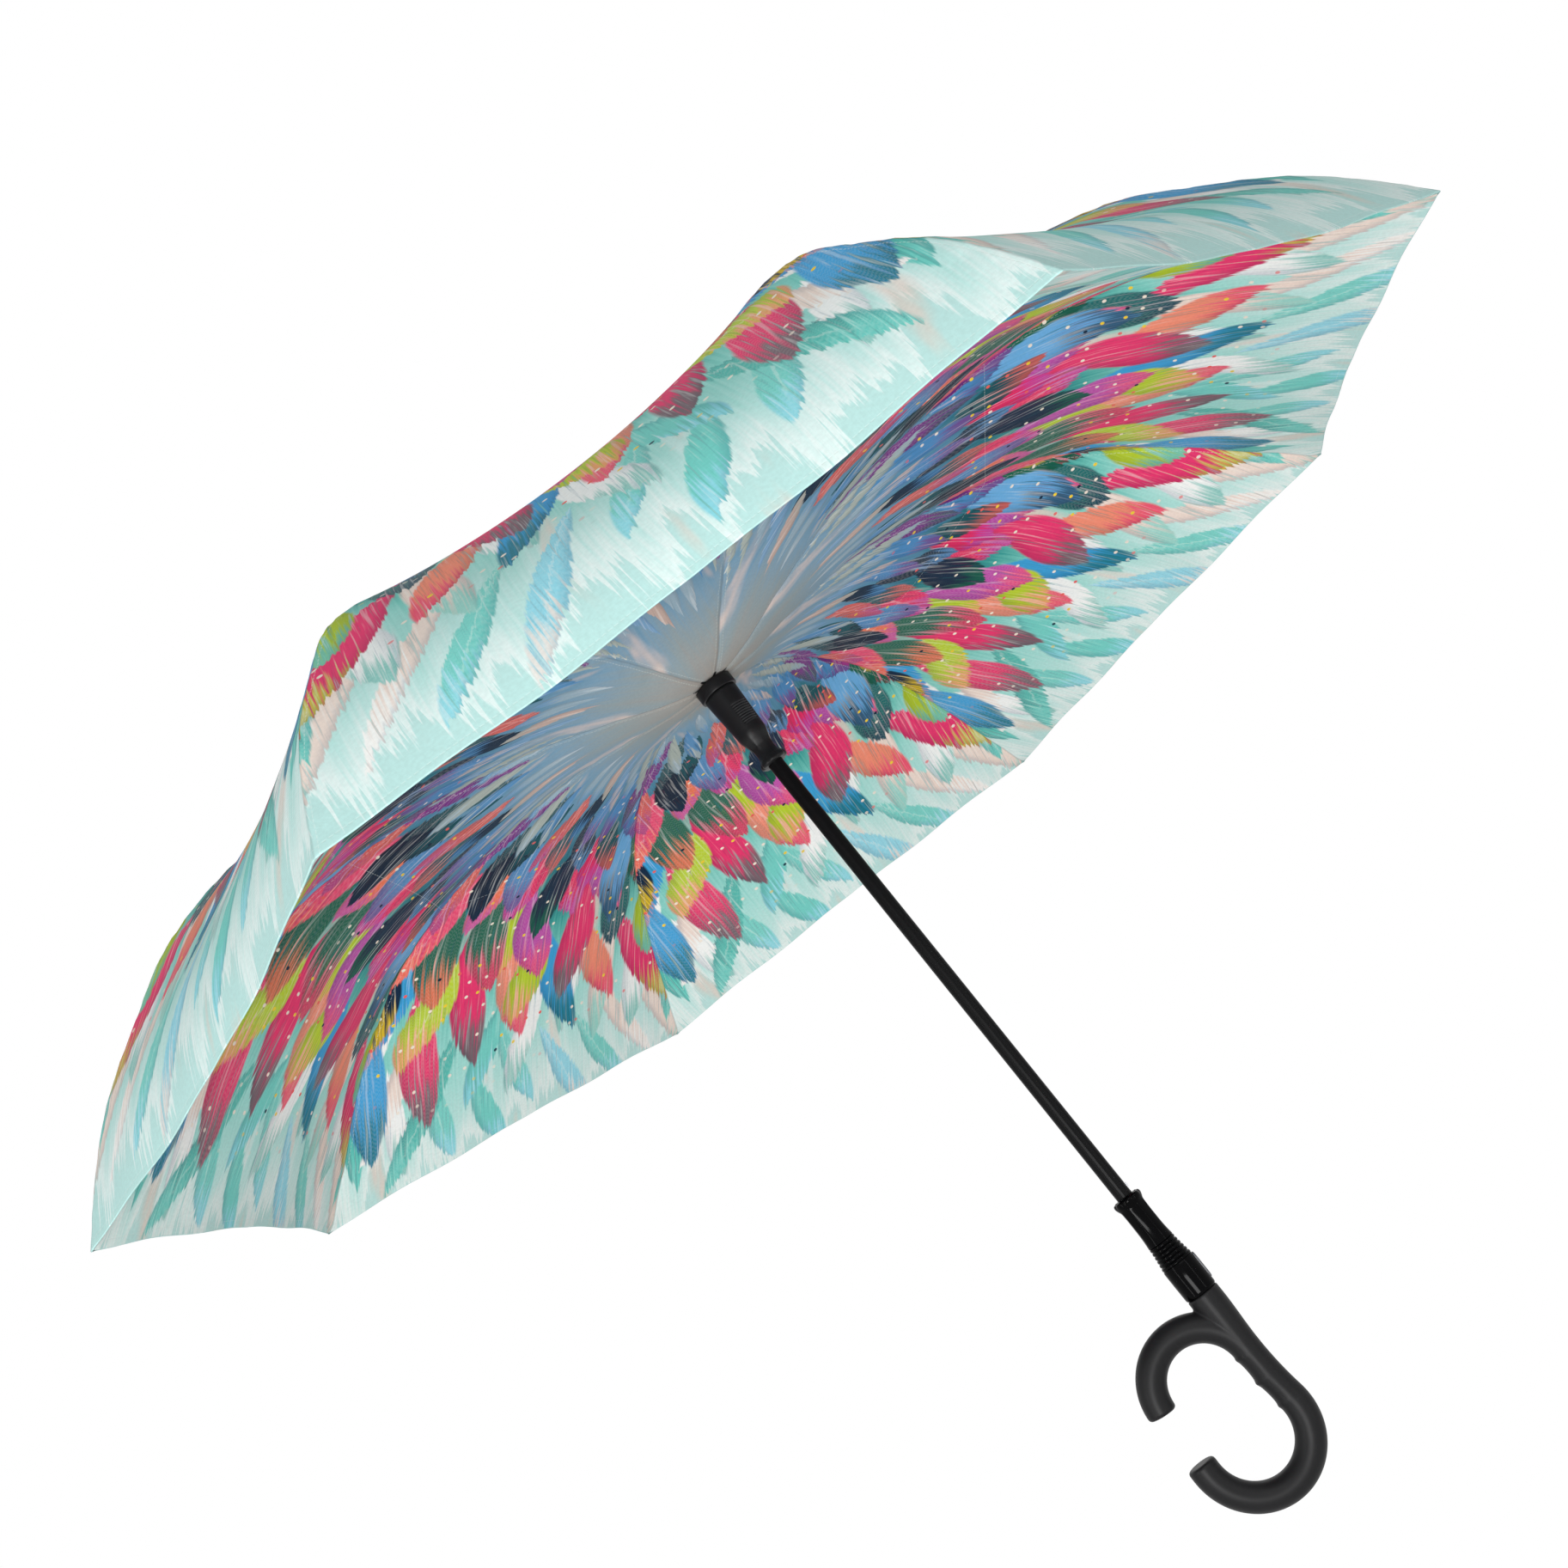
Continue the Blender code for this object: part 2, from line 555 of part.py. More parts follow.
def notch_mesh(name, side, floor_below):
    """A ring with a radial slot for each link's eye and the binding wire that the eyes turn on."""
    low = -NOTCH_HALF_HEIGHT - (NOTCH_FLOOR if floor_below else 0.0)
    high = NOTCH_HALF_HEIGHT
    profile = [(NOTCH_RADIUS, high), (NOTCH_RADIUS, low), (BORE_RADIUS, low), (BORE_RADIUS, high)]
    ring = turned_mesh(name, profile, FINE_STEPS, closed=True)
    slots = []
    half = LINK_THICKNESS / 2 + SLOT_SIDE_GAP
    slot_low = -NOTCH_HALF_HEIGHT if floor_below else low - CUT_OVERRUN
    for index in range(RIB_COUNT):
        slot = box_mesh("slot", (NOTCH_CORE_RADIUS, side * LINK_SIDE_STEP - half, slot_low),
                        (NOTCH_RADIUS + CUT_OVERRUN, side * LINK_SIDE_STEP + half, high + CUT_OVERRUN))
        slot.transform(Matrix.Rotation(FIRST_RIB_ANGLE + 2 * HALF_PANEL * index, 4, "Z"))
        slots.append(slot)
    slotted = boolean(ring, name, cut=slots)
    wire = turned_mesh("wire", circle(HINGE_RADIUS, WIRE_RADIUS, WIRE_SIDES)[::-1], FINE_STEPS,
                       closed=True)
    return boolean(slotted, name, joined=[wire])


def add_notches(finish):
    """The fixed notch at the crown and the one on top of the runner."""
    crown = notch_mesh("crown_notch", 1, False)
    crown.transform(Matrix.Translation((0.0, 0.0, NOTCH_HINGE_HEIGHT)))
    single_piece("crown_notch", crown, finish)
    runner = notch_mesh("runner_notch", -1, True)
    runner.transform(Matrix.Translation((0.0, 0.0, RUNNER_HINGE_HEIGHT)))
    single_piece("runner_notch", runner, finish, (0.0, 0.0, RUNNER_HINGE_HEIGHT))


def add_crown_cap(finish):
    """The cap that clamps the outer canopy, with a flat top and a socket for the shaft's end."""
    base = CROWN_FABRIC_HEIGHT + FIT_GAP
    top = base + CAP_HEIGHT
    shoulder = base + CAP_WALL
    socket = top - CAP_WALL
    profile = [(0.0, top), (CAP_FLAT_RADIUS, top)]
    for angle in np.linspace(math.pi / 2, 0.0, 6)[1:]:
        profile.append((CAP_FLAT_RADIUS + (CAP_RADIUS - CAP_FLAT_RADIUS) * math.cos(angle),
                        shoulder + (top - shoulder) * math.sin(angle)))
    profile += [(CAP_RADIUS, base), (BORE_RADIUS, base), (BORE_RADIUS, socket), (0.0, socket)]
    single_piece("crown_cap", turned_mesh("crown_cap", profile, FINE_STEPS), finish)
    return socket - FIT_GAP


def ridged(radius_top, radius_bottom, top, bottom, count, depth):
    """Points of a barrel's side with evenly spaced round ridges, from top to bottom."""
    points = []
    for k in range(count):
        for part_share, inset in ((RIDGE_CREST_SHARE, 0.0), (RIDGE_VALLEY_SHARE, depth)):
            share = (k + part_share) / count
            radius = radius_top + (radius_bottom - radius_top) * share
            points.append((radius - inset, top + (bottom - top) * share))
    return points


def add_runner(finish, ring_finish):
    """The sliding runner: a ridged barrel on an eight-sided neck, and the ring above it."""
    bottom = RUNNER_BOTTOM
    barrel_end = RUNNER_TOP - RUNNER_BARREL_LENGTH
    flange_top = bottom + RUNNER_FLANGE_HEIGHT
    sleeve_top = INNER_FABRIC_HEIGHT
    ridge_top = RUNNER_TOP - RIDGE_DEPTH
    upper = [(0.0, sleeve_top), (SLEEVE_RADIUS, sleeve_top), (SLEEVE_RADIUS, RUNNER_TOP),
             (RUNNER_BARREL_RADIUS, RUNNER_TOP)]
    upper += ridged(RUNNER_BARREL_RADIUS, RUNNER_TAPER_RADIUS, ridge_top, barrel_end,
                    RIDGE_COUNT, RIDGE_DEPTH)
    neck_top = barrel_end - 2 * (RUNNER_TAPER_RADIUS - RUNNER_NECK_RADIUS)
    neck_low = flange_top + (RUNNER_FLANGE_RADIUS - RUNNER_NECK_RADIUS)
    upper += [(RUNNER_TAPER_RADIUS, barrel_end), (RUNNER_NECK_RADIUS, neck_top), (0.0, neck_top)]
    body = turned_mesh("runner", upper, ROUND_STEPS)
    facet = RUNNER_NECK_RADIUS / math.cos(math.pi / NECK_SIDES)
    neck = turned_mesh("neck", [(0.0, barrel_end), (facet, barrel_end), (facet, flange_top - RIDGE_DEPTH),
                                (0.0, flange_top - RIDGE_DEPTH)], NECK_SIDES)
    foot = turned_mesh("foot", [(0.0, neck_low), (RUNNER_NECK_RADIUS, neck_low),
                                (RUNNER_FLANGE_RADIUS, flange_top - RIDGE_DEPTH),
                                (RUNNER_FLANGE_RADIUS, bottom), (0.0, bottom)], ROUND_STEPS)
    groove = BORE_RADIUS + LATCH_GROOVE_DEPTH
    groove_low = bottom + LATCH_LIP
    inner_cut = turned_mesh("groove", [(0.0, groove_low + LATCH_GROOVE_HEIGHT),
                                       (groove, groove_low + LATCH_GROOVE_HEIGHT),
                                       (groove, groove_low), (0.0, groove_low)], ROUND_STEPS)
    bore = turned_mesh("bore", [(0.0, sleeve_top + CUT_OVERRUN), (BORE_RADIUS, sleeve_top + CUT_OVERRUN),
                                (BORE_RADIUS, bottom - CUT_OVERRUN), (0.0, bottom - CUT_OVERRUN)],
                       ROUND_STEPS)
    mesh = boolean(body, "runner", joined=[neck, foot], cut=[bore, inner_cut])
    single_piece("runner", mesh, finish, (0.0, 0.0, RUNNER_HINGE_HEIGHT))
    ring_bore = SLEEVE_RADIUS + FIT_GAP
    ring_low = RUNNER_TOP + FIT_GAP
    bevel = RIDGE_DEPTH
    ring = [(COLLAR_RING_RADIUS - bevel, RUNNER_RING_TOP), (COLLAR_RING_RADIUS, RUNNER_RING_TOP - bevel),
            (COLLAR_RING_RADIUS, ring_low + bevel), (COLLAR_RING_RADIUS - bevel, ring_low),
            (ring_bore, ring_low), (ring_bore, RUNNER_RING_TOP)]
    single_piece("inner_canopy_ring", turned_mesh("ring", ring, FINE_STEPS, closed=True),
                 ring_finish, (0.0, 0.0, RUNNER_HINGE_HEIGHT))


def button_outline(grow):
    """A slot shape in width and height, larger all round by an amount."""
    radius = BUTTON_WIDTH / 2 + grow
    straight = (BUTTON_HEIGHT - BUTTON_WIDTH) / 2
    points = []
    for end in (1, -1):
        for angle in np.linspace(0.0, math.pi, 9):
            points.append((end * radius * math.cos(angle), end * (straight + radius * math.sin(angle))))
    return points


def button_block(name, grow, low, high):
    """The button's slot shape as a block between two distances from the shaft's axis."""
    mesh = plate_mesh(name, [button_outline(grow)], high - low, 0.0)
    place = Matrix.Translation(((low + high) / 2, 0.0, BUTTON_CENTRE_HEIGHT))
    mesh.transform(place @ Matrix.Rotation(-math.pi / 2, 4, "Z"))
    return mesh


def stem_mesh(name, start, end, radius):
    """A pin along X through the button's centre."""
    return rod_mesh(name, (start, 0.0, BUTTON_CENTRE_HEIGHT), (end, 0.0, BUTTON_CENTRE_HEIGHT),
                    radius, 12)


def add_handle_collar(finish):
    """The glossy collar above the handle: round barrel, rings, eight-sided neck and flange."""
    base = COLLAR_BASE_HEIGHT + FIT_GAP
    ring_low = base + COLLAR_BARREL_LENGTH
    ring_high = ring_low + COLLAR_RING_ZONE
    neck_high = ring_high + COLLAR_NECK_LENGTH
    facet = COLLAR_NECK_RADIUS / math.cos(math.pi / NECK_SIDES)
    flange = COLLAR_FLANGE_RADIUS / math.cos(math.pi / NECK_SIDES)
    neck_foot = ring_high - COLLAR_RING_ZONE / 2
    barrel = [(0.0, ring_high)]
    barrel += ridged(COLLAR_RING_RADIUS_TOP, COLLAR_BARREL_RADIUS, ring_high, ring_low,
                     COLLAR_RING_COUNT, RIDGE_DEPTH)
    barrel += [(COLLAR_BARREL_RADIUS, ring_low), (COLLAR_BARREL_RADIUS, base), (0.0, base)]
    body = turned_mesh("handle_collar", barrel, FINE_STEPS)
    shoulder = FLANGE_BEVEL_SHARE * (COLLAR_TOP - neck_high)
    neck = turned_mesh("collar_neck", [
        (0.0, COLLAR_TOP), (facet, COLLAR_TOP), (flange, COLLAR_TOP - shoulder),
        (flange, neck_high + shoulder), (facet, neck_high), (facet, neck_foot),
        (0.0, neck_foot)], NECK_SIDES)
    bore = rod_mesh("collar_bore", (0.0, 0.0, base - CUT_OVERRUN), (0.0, 0.0, COLLAR_TOP + CUT_OVERRUN),
                    BORE_RADIUS, ROUND_STEPS)
    floor = COLLAR_BARREL_RADIUS - BUTTON_POCKET_DEPTH
    pocket = button_block("pocket", FIT_GAP, floor, COLLAR_BARREL_RADIUS + CUT_OVERRUN)
    hole = stem_mesh("stem_hole", 0.0, COLLAR_BARREL_RADIUS, STEM_RADIUS + FIT_GAP)
    mesh = boolean(body, "handle_collar", joined=[neck], cut=[bore, pocket, hole])
    single_piece("handle_collar", mesh, finish)


def add_button(finish, steel):
    """The push button with its stem, and the small spring around the stem."""
    outer = COLLAR_BARREL_RADIUS + BUTTON_PROUD
    inner = outer - BUTTON_DEPTH
    block = button_block("push_button", 0.0, inner, outer)
    stem_end = LATCH_STRIP_FACE + STEM_GAP
    stem = stem_mesh("stem", stem_end, inner + BUTTON_PROUD, STEM_RADIUS)
    mesh = boolean(block, "push_button", joined=[stem])
    origin = (outer, 0.0, BUTTON_CENTRE_HEIGHT)
    single_piece("push_button", mesh, finish, origin)
    floor = COLLAR_BARREL_RADIUS - BUTTON_POCKET_DEPTH
    length = inner - floor - 2 * FIT_GAP
    spring_bore = BUTTON_SPRING_RADIUS - BUTTON_SPRING_WALL
    profile = [(BUTTON_SPRING_RADIUS, length), (BUTTON_SPRING_RADIUS, 0.0), (spring_bore, 0.0),
               (spring_bore, length)]
    spring = turned_mesh("button_spring", profile, 12, closed=True)
    place = Matrix.Translation((floor + FIT_GAP, 0.0, BUTTON_CENTRE_HEIGHT))
    spring.transform(place @ Matrix.Rotation(math.pi / 2, 4, "Y"))
    single_piece("button_spring", spring, steel)


def latch_nose_heights():
    """The lowest and highest level of the latch's nose, over the closed runner's lip."""
    low = RUNNER_BOTTOM - RUNNER_TRAVEL + LATCH_LIP + FIT_GAP
    return low, low + LATCH_NOSE_HEIGHT


def add_latch(steel):
    """The latch strip in the shaft, with the nose that holds the closed runner."""
    low, high = latch_nose_heights()
    back = LATCH_STRIP_FACE - LATCH_STRIP_THICKNESS
    half = LATCH_WIDTH / 2
    strip = box_mesh("latch", (back, -half, BUTTON_CENTRE_HEIGHT - LATCH_WIDTH),
                     (LATCH_STRIP_FACE, half, high + LATCH_STRIP_THICKNESS))
    nose_half = NOSE_WIDTH_SHARE * half
    nose = box_mesh("nose", (LATCH_STRIP_FACE - LATCH_STRIP_THICKNESS / 2, -nose_half, low),
                    (LATCH_NOSE_REACH, nose_half, high))
    single_piece("runner_latch", boolean(strip, "runner_latch", joined=[nose]), steel,
                 (LATCH_STRIP_FACE, 0.0, BUTTON_CENTRE_HEIGHT))


def add_shaft(finish, steel, top):
    """The straight tube with its latch slot and stem hole, and the opening spring inside it."""
    bottom = COLLAR_BASE_HEIGHT - SHAFT_DEPTH_IN_HANDLE + FIT_GAP
    inside = SHAFT_RADIUS - SHAFT_WALL
    profile = [(SHAFT_RADIUS, top), (SHAFT_RADIUS, bottom), (inside, bottom), (inside, top)]
    tube = turned_mesh("shaft", profile, ROUND_STEPS, closed=True)
    low, high = latch_nose_heights()
    half = LATCH_WIDTH / 2 + FIT_GAP
    slot = box_mesh("nose_slot", (0.0, -half, low - FIT_GAP),
                    (SHAFT_RADIUS + CUT_OVERRUN, half, high + FIT_GAP))
    hole = stem_mesh("stem_hole", 0.0, SHAFT_RADIUS + CUT_OVERRUN, STEM_RADIUS + FIT_GAP)
    single_piece("shaft", boolean(tube, "shaft", cut=[slot, hole]), finish)
    foot = COLLAR_TOP + SPRING_FOOT_ABOVE_COLLAR
    bore = SPRING_RADIUS - SPRING_WALL
    profile = [(SPRING_RADIUS, foot + SPRING_LENGTH), (SPRING_RADIUS, foot), (bore, foot),
               (bore, foot + SPRING_LENGTH)]
    single_piece("opening_spring", turned_mesh("opening_spring", profile, 12, closed=True), steel)


def grip_centre(height):
    """How far the grip's middle line stands out towards +X at a height."""
    share = min(max((UPPER_HOOK_HEIGHT - height) / GRIP_LENGTH, 0.0), 1.0)
    return GRIP_SWING * share**2


def handle_path():
    """The C from its upper end over the hook, down the leaning grip and round the lower hook."""
    upper = [(-HOOK_RADIUS + HOOK_RADIUS * math.cos(a), UPPER_HOOK_HEIGHT + HOOK_RADIUS * math.sin(a))
             for a in np.linspace(math.pi, 0.0, HOOK_ARC_STEPS)]
    centre = GRIP_SWING - LOWER_HOOK_RADIUS * math.cos(GRIP_LEAN)
    lower = [(centre + LOWER_HOOK_RADIUS * math.cos(a), -LOWER_HOOK_DEPTH + LOWER_HOOK_RADIUS * math.sin(a))
             for a in np.linspace(GRIP_LEAN, -math.pi, HOOK_ARC_STEPS)]
    grip = [(grip_centre(height), height) for height in
            np.linspace(UPPER_HOOK_HEIGHT, LOWER_HOOK_START, GRIP_STEPS + 2)[1:-1]]
    end = (centre - LOWER_HOOK_RADIUS, -LOWER_HOOK_DEPTH + LOWER_END_RISE)
    return [(x, 0.0, z) for x, z in [*upper, *grip, *lower, end]]


def stem_profile():
    """The stem from the collar down into the grip, as radius and height, with a closed end."""
    widening = HANDLE_STEM_TOP_RADIUS - HANDLE_TUBE_RADIUS
    side = [(HANDLE_TUBE_RADIUS + share * widening, UPPER_HOOK_HEIGHT + level * HOOK_BELOW_COLLAR)
            for level, share in HANDLE_STEM_PROFILE]
    root = UPPER_HOOK_HEIGHT - HANDLE_TUBE_RADIUS / 2
    inside = STEM_ROOT_RADIUS_SHARE * HANDLE_TUBE_RADIUS
    return [(0.0, COLLAR_BASE_HEIGHT), *side, (inside, root), (0.0, root)]


def add_handle(finish):
    """The C-shaped hook handle with its stem, finger grooves and the shaft's bore."""
    hook = tube_mesh("handle", handle_path(), HANDLE_TUBE_RADIUS, 4)
    stem = turned_mesh("handle_stem", stem_profile(), ROUND_STEPS)
    bore = rod_mesh("handle_bore", (0.0, 0.0, COLLAR_BASE_HEIGHT - SHAFT_DEPTH_IN_HANDLE),
                    (0.0, 0.0, COLLAR_BASE_HEIGHT + CUT_OVERRUN), BORE_RADIUS, ROUND_STEPS)
    grooves = []
    offset = -HANDLE_TUBE_RADIUS - GROOVE_RADIUS + GROOVE_DEPTH
    for height in GROOVE_HEIGHTS:
        place = offset + grip_centre(height)
        grooves.append(rod_mesh("groove", (place, -HANDLE_TUBE_RADIUS - CUT_OVERRUN, height),
                                (place, HANDLE_TUBE_RADIUS + CUT_OVERRUN, height), GROOVE_RADIUS, 20))
    single_piece("handle", boolean(hook, "handle", joined=[stem], cut=[bore, *grooves]), finish)


clear_scene()
PARTS = collection("inverted_umbrella")
CUTTERS = collection("cutters")
STEEL = material("steel", (0.55, 0.56, 0.58), 0.35, 1.0)
DARK_STEEL = material("dark_steel", (0.05, 0.05, 0.055), 0.4, 0.8)
BLACK_PLASTIC = material("black_plastic", (0.02, 0.02, 0.022), 0.45)
GLOSS_BLACK = material("gloss_black", (0.012, 0.012, 0.014), 0.18)
SOFT_BLACK = material("soft_touch_black", (0.03, 0.03, 0.032), 0.7)
SILVER = material("silver_plastic", (0.62, 0.63, 0.64), 0.3, 0.6)
FABRICS = {"outer": material("outer_fabric", (0.72, 0.80, 0.76), 0.85),
           "inner": material("inner_fabric", (0.50, 0.56, 0.58), 0.85)}

add_handle(SOFT_BLACK)
add_handle_collar(GLOSS_BLACK)
add_button(SILVER, STEEL)
add_latch(STEEL)
shaft_top = add_crown_cap(BLACK_PLASTIC)
add_shaft(DARK_STEEL, STEEL, shaft_top)
add_runner(BLACK_PLASTIC, BLACK_PLASTIC)
add_notches(BLACK_PLASTIC)
add_inner_ribs(DARK_STEEL)
add_stretchers(DARK_STEEL)
add_outer_ribs(BLACK_PLASTIC, BLACK_PLASTIC)
add_canopies(FABRICS)
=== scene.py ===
"""Cloth, mouldings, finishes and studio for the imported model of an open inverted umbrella."""
import json
import math

import bmesh
import bpy
import numpy as np
from bpy.props import FloatProperty, FloatVectorProperty, IntProperty, PointerProperty
from mathutils import Matrix, Vector


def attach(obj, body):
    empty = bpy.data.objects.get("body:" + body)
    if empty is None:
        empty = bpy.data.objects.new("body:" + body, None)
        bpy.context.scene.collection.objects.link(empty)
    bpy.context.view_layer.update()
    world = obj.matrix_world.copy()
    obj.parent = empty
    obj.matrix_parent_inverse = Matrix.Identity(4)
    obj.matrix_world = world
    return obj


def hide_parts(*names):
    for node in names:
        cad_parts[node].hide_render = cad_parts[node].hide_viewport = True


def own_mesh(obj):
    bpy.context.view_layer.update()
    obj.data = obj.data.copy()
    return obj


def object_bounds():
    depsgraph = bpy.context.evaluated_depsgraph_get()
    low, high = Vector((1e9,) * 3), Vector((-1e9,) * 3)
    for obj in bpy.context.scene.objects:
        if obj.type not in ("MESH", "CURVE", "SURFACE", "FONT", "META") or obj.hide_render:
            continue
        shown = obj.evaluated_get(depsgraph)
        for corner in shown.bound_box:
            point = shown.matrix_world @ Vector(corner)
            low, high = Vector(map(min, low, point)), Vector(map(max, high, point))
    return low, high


bl_info = {
    "name": "Inverted Umbrella Dressing",
    "version": (1, 0, 0),
    "blender": (4, 5, 0),
    "location": "3D View > Sidebar > Umbrella",
    "description": "Makes the cloth, the mouldings, the finishes and the studio of an umbrella",
    "category": "Object",
}

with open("model.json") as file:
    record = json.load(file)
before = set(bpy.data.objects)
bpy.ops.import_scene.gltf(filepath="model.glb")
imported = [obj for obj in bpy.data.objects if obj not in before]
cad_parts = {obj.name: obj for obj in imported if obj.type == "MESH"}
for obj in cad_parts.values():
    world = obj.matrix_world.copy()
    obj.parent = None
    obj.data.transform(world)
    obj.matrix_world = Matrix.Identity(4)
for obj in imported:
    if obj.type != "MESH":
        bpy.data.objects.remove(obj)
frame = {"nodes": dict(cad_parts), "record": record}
CAD_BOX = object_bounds()

# Counts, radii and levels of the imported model. Every length in this file is in metres
RIB_COUNT = 8
HALF_PANEL = math.pi / RIB_COUNT
RIM_RADIUS = 0.530
RIM_HEIGHT = 0.475
CLAMP_RADIUS = 0.0163
CROWN_CLOTH_HEIGHT = 0.681328
CROWN_HOLE_RADIUS = 0.0080
RUNNER_CLOTH_HEIGHT = 0.5722
RUNNER_HOLE_RADIUS = 0.0095
RIVET_RADIUS = 0.2376
FLEX_RADIUS = 0.2830
SHAFT_BORE = 0.0058
# Course of each layer along a rib, from clamp to rim: share of the radius, share of the height
OUTER_SHARES = (
    (0.0, 1.0), (0.045, 0.992), (0.25, 0.925), (0.45, 0.856), (0.565, 0.803), (0.66, 0.745),
    (0.74, 0.660), (0.82, 0.510), (0.90, 0.335), (0.96, 0.150), (1.0, 0.0))
INNER_SHARES = (
    (0.0, 0.0), (0.0197, 0.012), (0.128, 0.130), (0.236, 0.225), (0.354, 0.255), (0.472, 0.235),
    (0.610, 0.130), (0.728, -0.100), (0.826, -0.370), (0.905, -0.650), (0.9525, -0.7987),
    (1.0, -0.944))
INNER_FALL = 0.1038
INNER_RIM_INSET = 0.0008
INNER_RIM_DROP = 0.0008
# Runner, collar and handle
NECK_SIDES = 8
RUNNER_STEPS = 160
RIDGE_COUNT = 10
RIDGE_LOW = 0.5310
RIDGE_HIGH = 0.5490
THUMB_TURN = math.radians(55)
# Painted highlight: a lighter black on the runner's ridge crests, where light would catch them
CREST_HIGHLIGHT_BLACK = "38383A"
HANDLE_TOP = 0.063
SHAFT_DEPTH = 0.030
UPPER_HOOK_HEIGHT = 0.020
LOWER_HOOK_DEPTH = 0.022
LOWER_END_RISE = 0.0065
GRIP_LEAN = math.radians(9)
GROOVE_TOP = 0.0365
GROOVE_PITCH = 0.0175
GROOVE_COUNT = 3
CREST_WIDTH = 0.0017
FLARE_START = 0.022
FLARE_LENGTH = 0.034
# Cloth: the share of sag and scallop that draws a panel in, the gathers and the valley beside a
# seam, pleats at the rim, the pocket round a rib's tip, the spare cloth's lift, threads and hem
BOW_SHARE = 0.765
GATHER_PITCH = 0.021
FINE_GATHER_PITCH = 0.0134
GATHER_PLACE = 0.006
GATHER_WIDTH = 0.008
SEAM_VALLEY = 0.0005
VALLEY_WIDTH = 0.0016
PLEAT_HEIGHT = 0.0011
POCKET_START = 0.505
POCKET_END = 0.5292
POCKET_DEPTH = 0.0022
POCKET_WIDTH = 0.005
FLAP_LIFT = 0.0010
THREADS_PER_METRE = 2600.0
HEM_WIDTH = 0.006
# The print: how far places wander, the scales of its brush and washes across and along, how
# ragged the leaves are, and their barbs
WANDER = 0.012
HAIRS_PER_METRE = (520.0, 13.0)
WASHES_PER_METRE = (34.0, 5.0)
BERRIES_PER_METRE = 70.0
FRAY = 0.026
BARBS_ALONG = 1500.0
BARB_LEAN = 42.0
LEAST_WIDTH = 0.02
OUTER_REACH = 0.578
INNER_REACH = 0.560
# Painted shade: each layer's print is multiplied by a tint, darker for the outer layer
OUTER_PAINTED_SHADE = (0.84, 0.87, 0.88)
INNER_PAINTED_SHADE = (1.0, 1.0, 1.0)

FINISHES = {}


def tint(code):
    """A six-figure hexadecimal colour as linear red, green and blue."""
    levels = [int(code[k:k + 2], 16) / 255 for k in (0, 2, 4)]
    return tuple(v / 12.92 if v <= 0.04045 else ((v + 0.055) / 1.055) ** 2.4 for v in levels)


def a_length(name, description, default, low, high):
    """A length in metres that a user can change."""
    return FloatProperty(name=name, description=description, default=default, min=low, max=high,
                         unit="LENGTH")


def a_share(name, description, default, low=0.0):
    """A share of one that a user can change."""
    return FloatProperty(name=name, description=description, default=default, min=low, max=1.0,
                         subtype="FACTOR")


def a_keep(part, default):
    """The share of its width that a strip of cloth keeps when it is folded."""
    return a_share(f"Folded {part.title()} Width",
                   f"Share of its width that the folded {part} keeps", default, 0.05)


def a_colour(name, description, code):
    """A colour that a user can change, from six hexadecimal figures."""
    return FloatVectorProperty(name=name, description=description, default=tint(code), size=3,
                               min=0.0, max=1.0, subtype="COLOR")


def a_power(name, description, default, high=500.0):
    """A lamp's power in watts that a user can change."""
    return FloatProperty(name=name, description=description, default=default, min=0.0, max=high,
                         unit="POWER")


class UmbrellaCanopySettings(bpy.types.PropertyGroup):
    """Sizes and colours of the two layers of cloth."""
    outer_sag: a_length(
        "Outer Sag", "How far the middle of an outer panel is drawn in and down", 0.013, 0.0, 0.04)
    inner_sag: a_length(
        "Inner Sag", "How far the middle of an inner panel is drawn in and down", 0.010, 0.0, 0.04)
    scallop: a_length(
        "Rim Scallop", "How far the rim is drawn in between two tips", 0.020, 0.0, 0.05)
    pucker: a_length(
        "Seam Pucker", "Height of the small gathers beside each seam", 0.0003, 0.0, 0.002)
    columns: IntProperty(
        name="Half Panel Columns", description="Cells from a seam to the middle of a panel",
        default=30, min=6, max=60)
    row_length: a_length(
        "Row Length", "Distance between rows of cells along a rib", 0.0045, 0.001, 0.02)
    flap: a_length(
        "Fold Allowance", "Spare cloth hidden above the inner layer at the bend", 0.038, 0.0, 0.08)
    root_keep: a_keep("root", 0.275)
    lining_keep: a_keep("lining", 0.30)
    crown_keep: a_keep("crown", 0.14)
    skirt_keep: a_keep("skirt", 0.18)
    thread: a_colour("Thread", "Colour of the sewing thread", "D9E4DF")


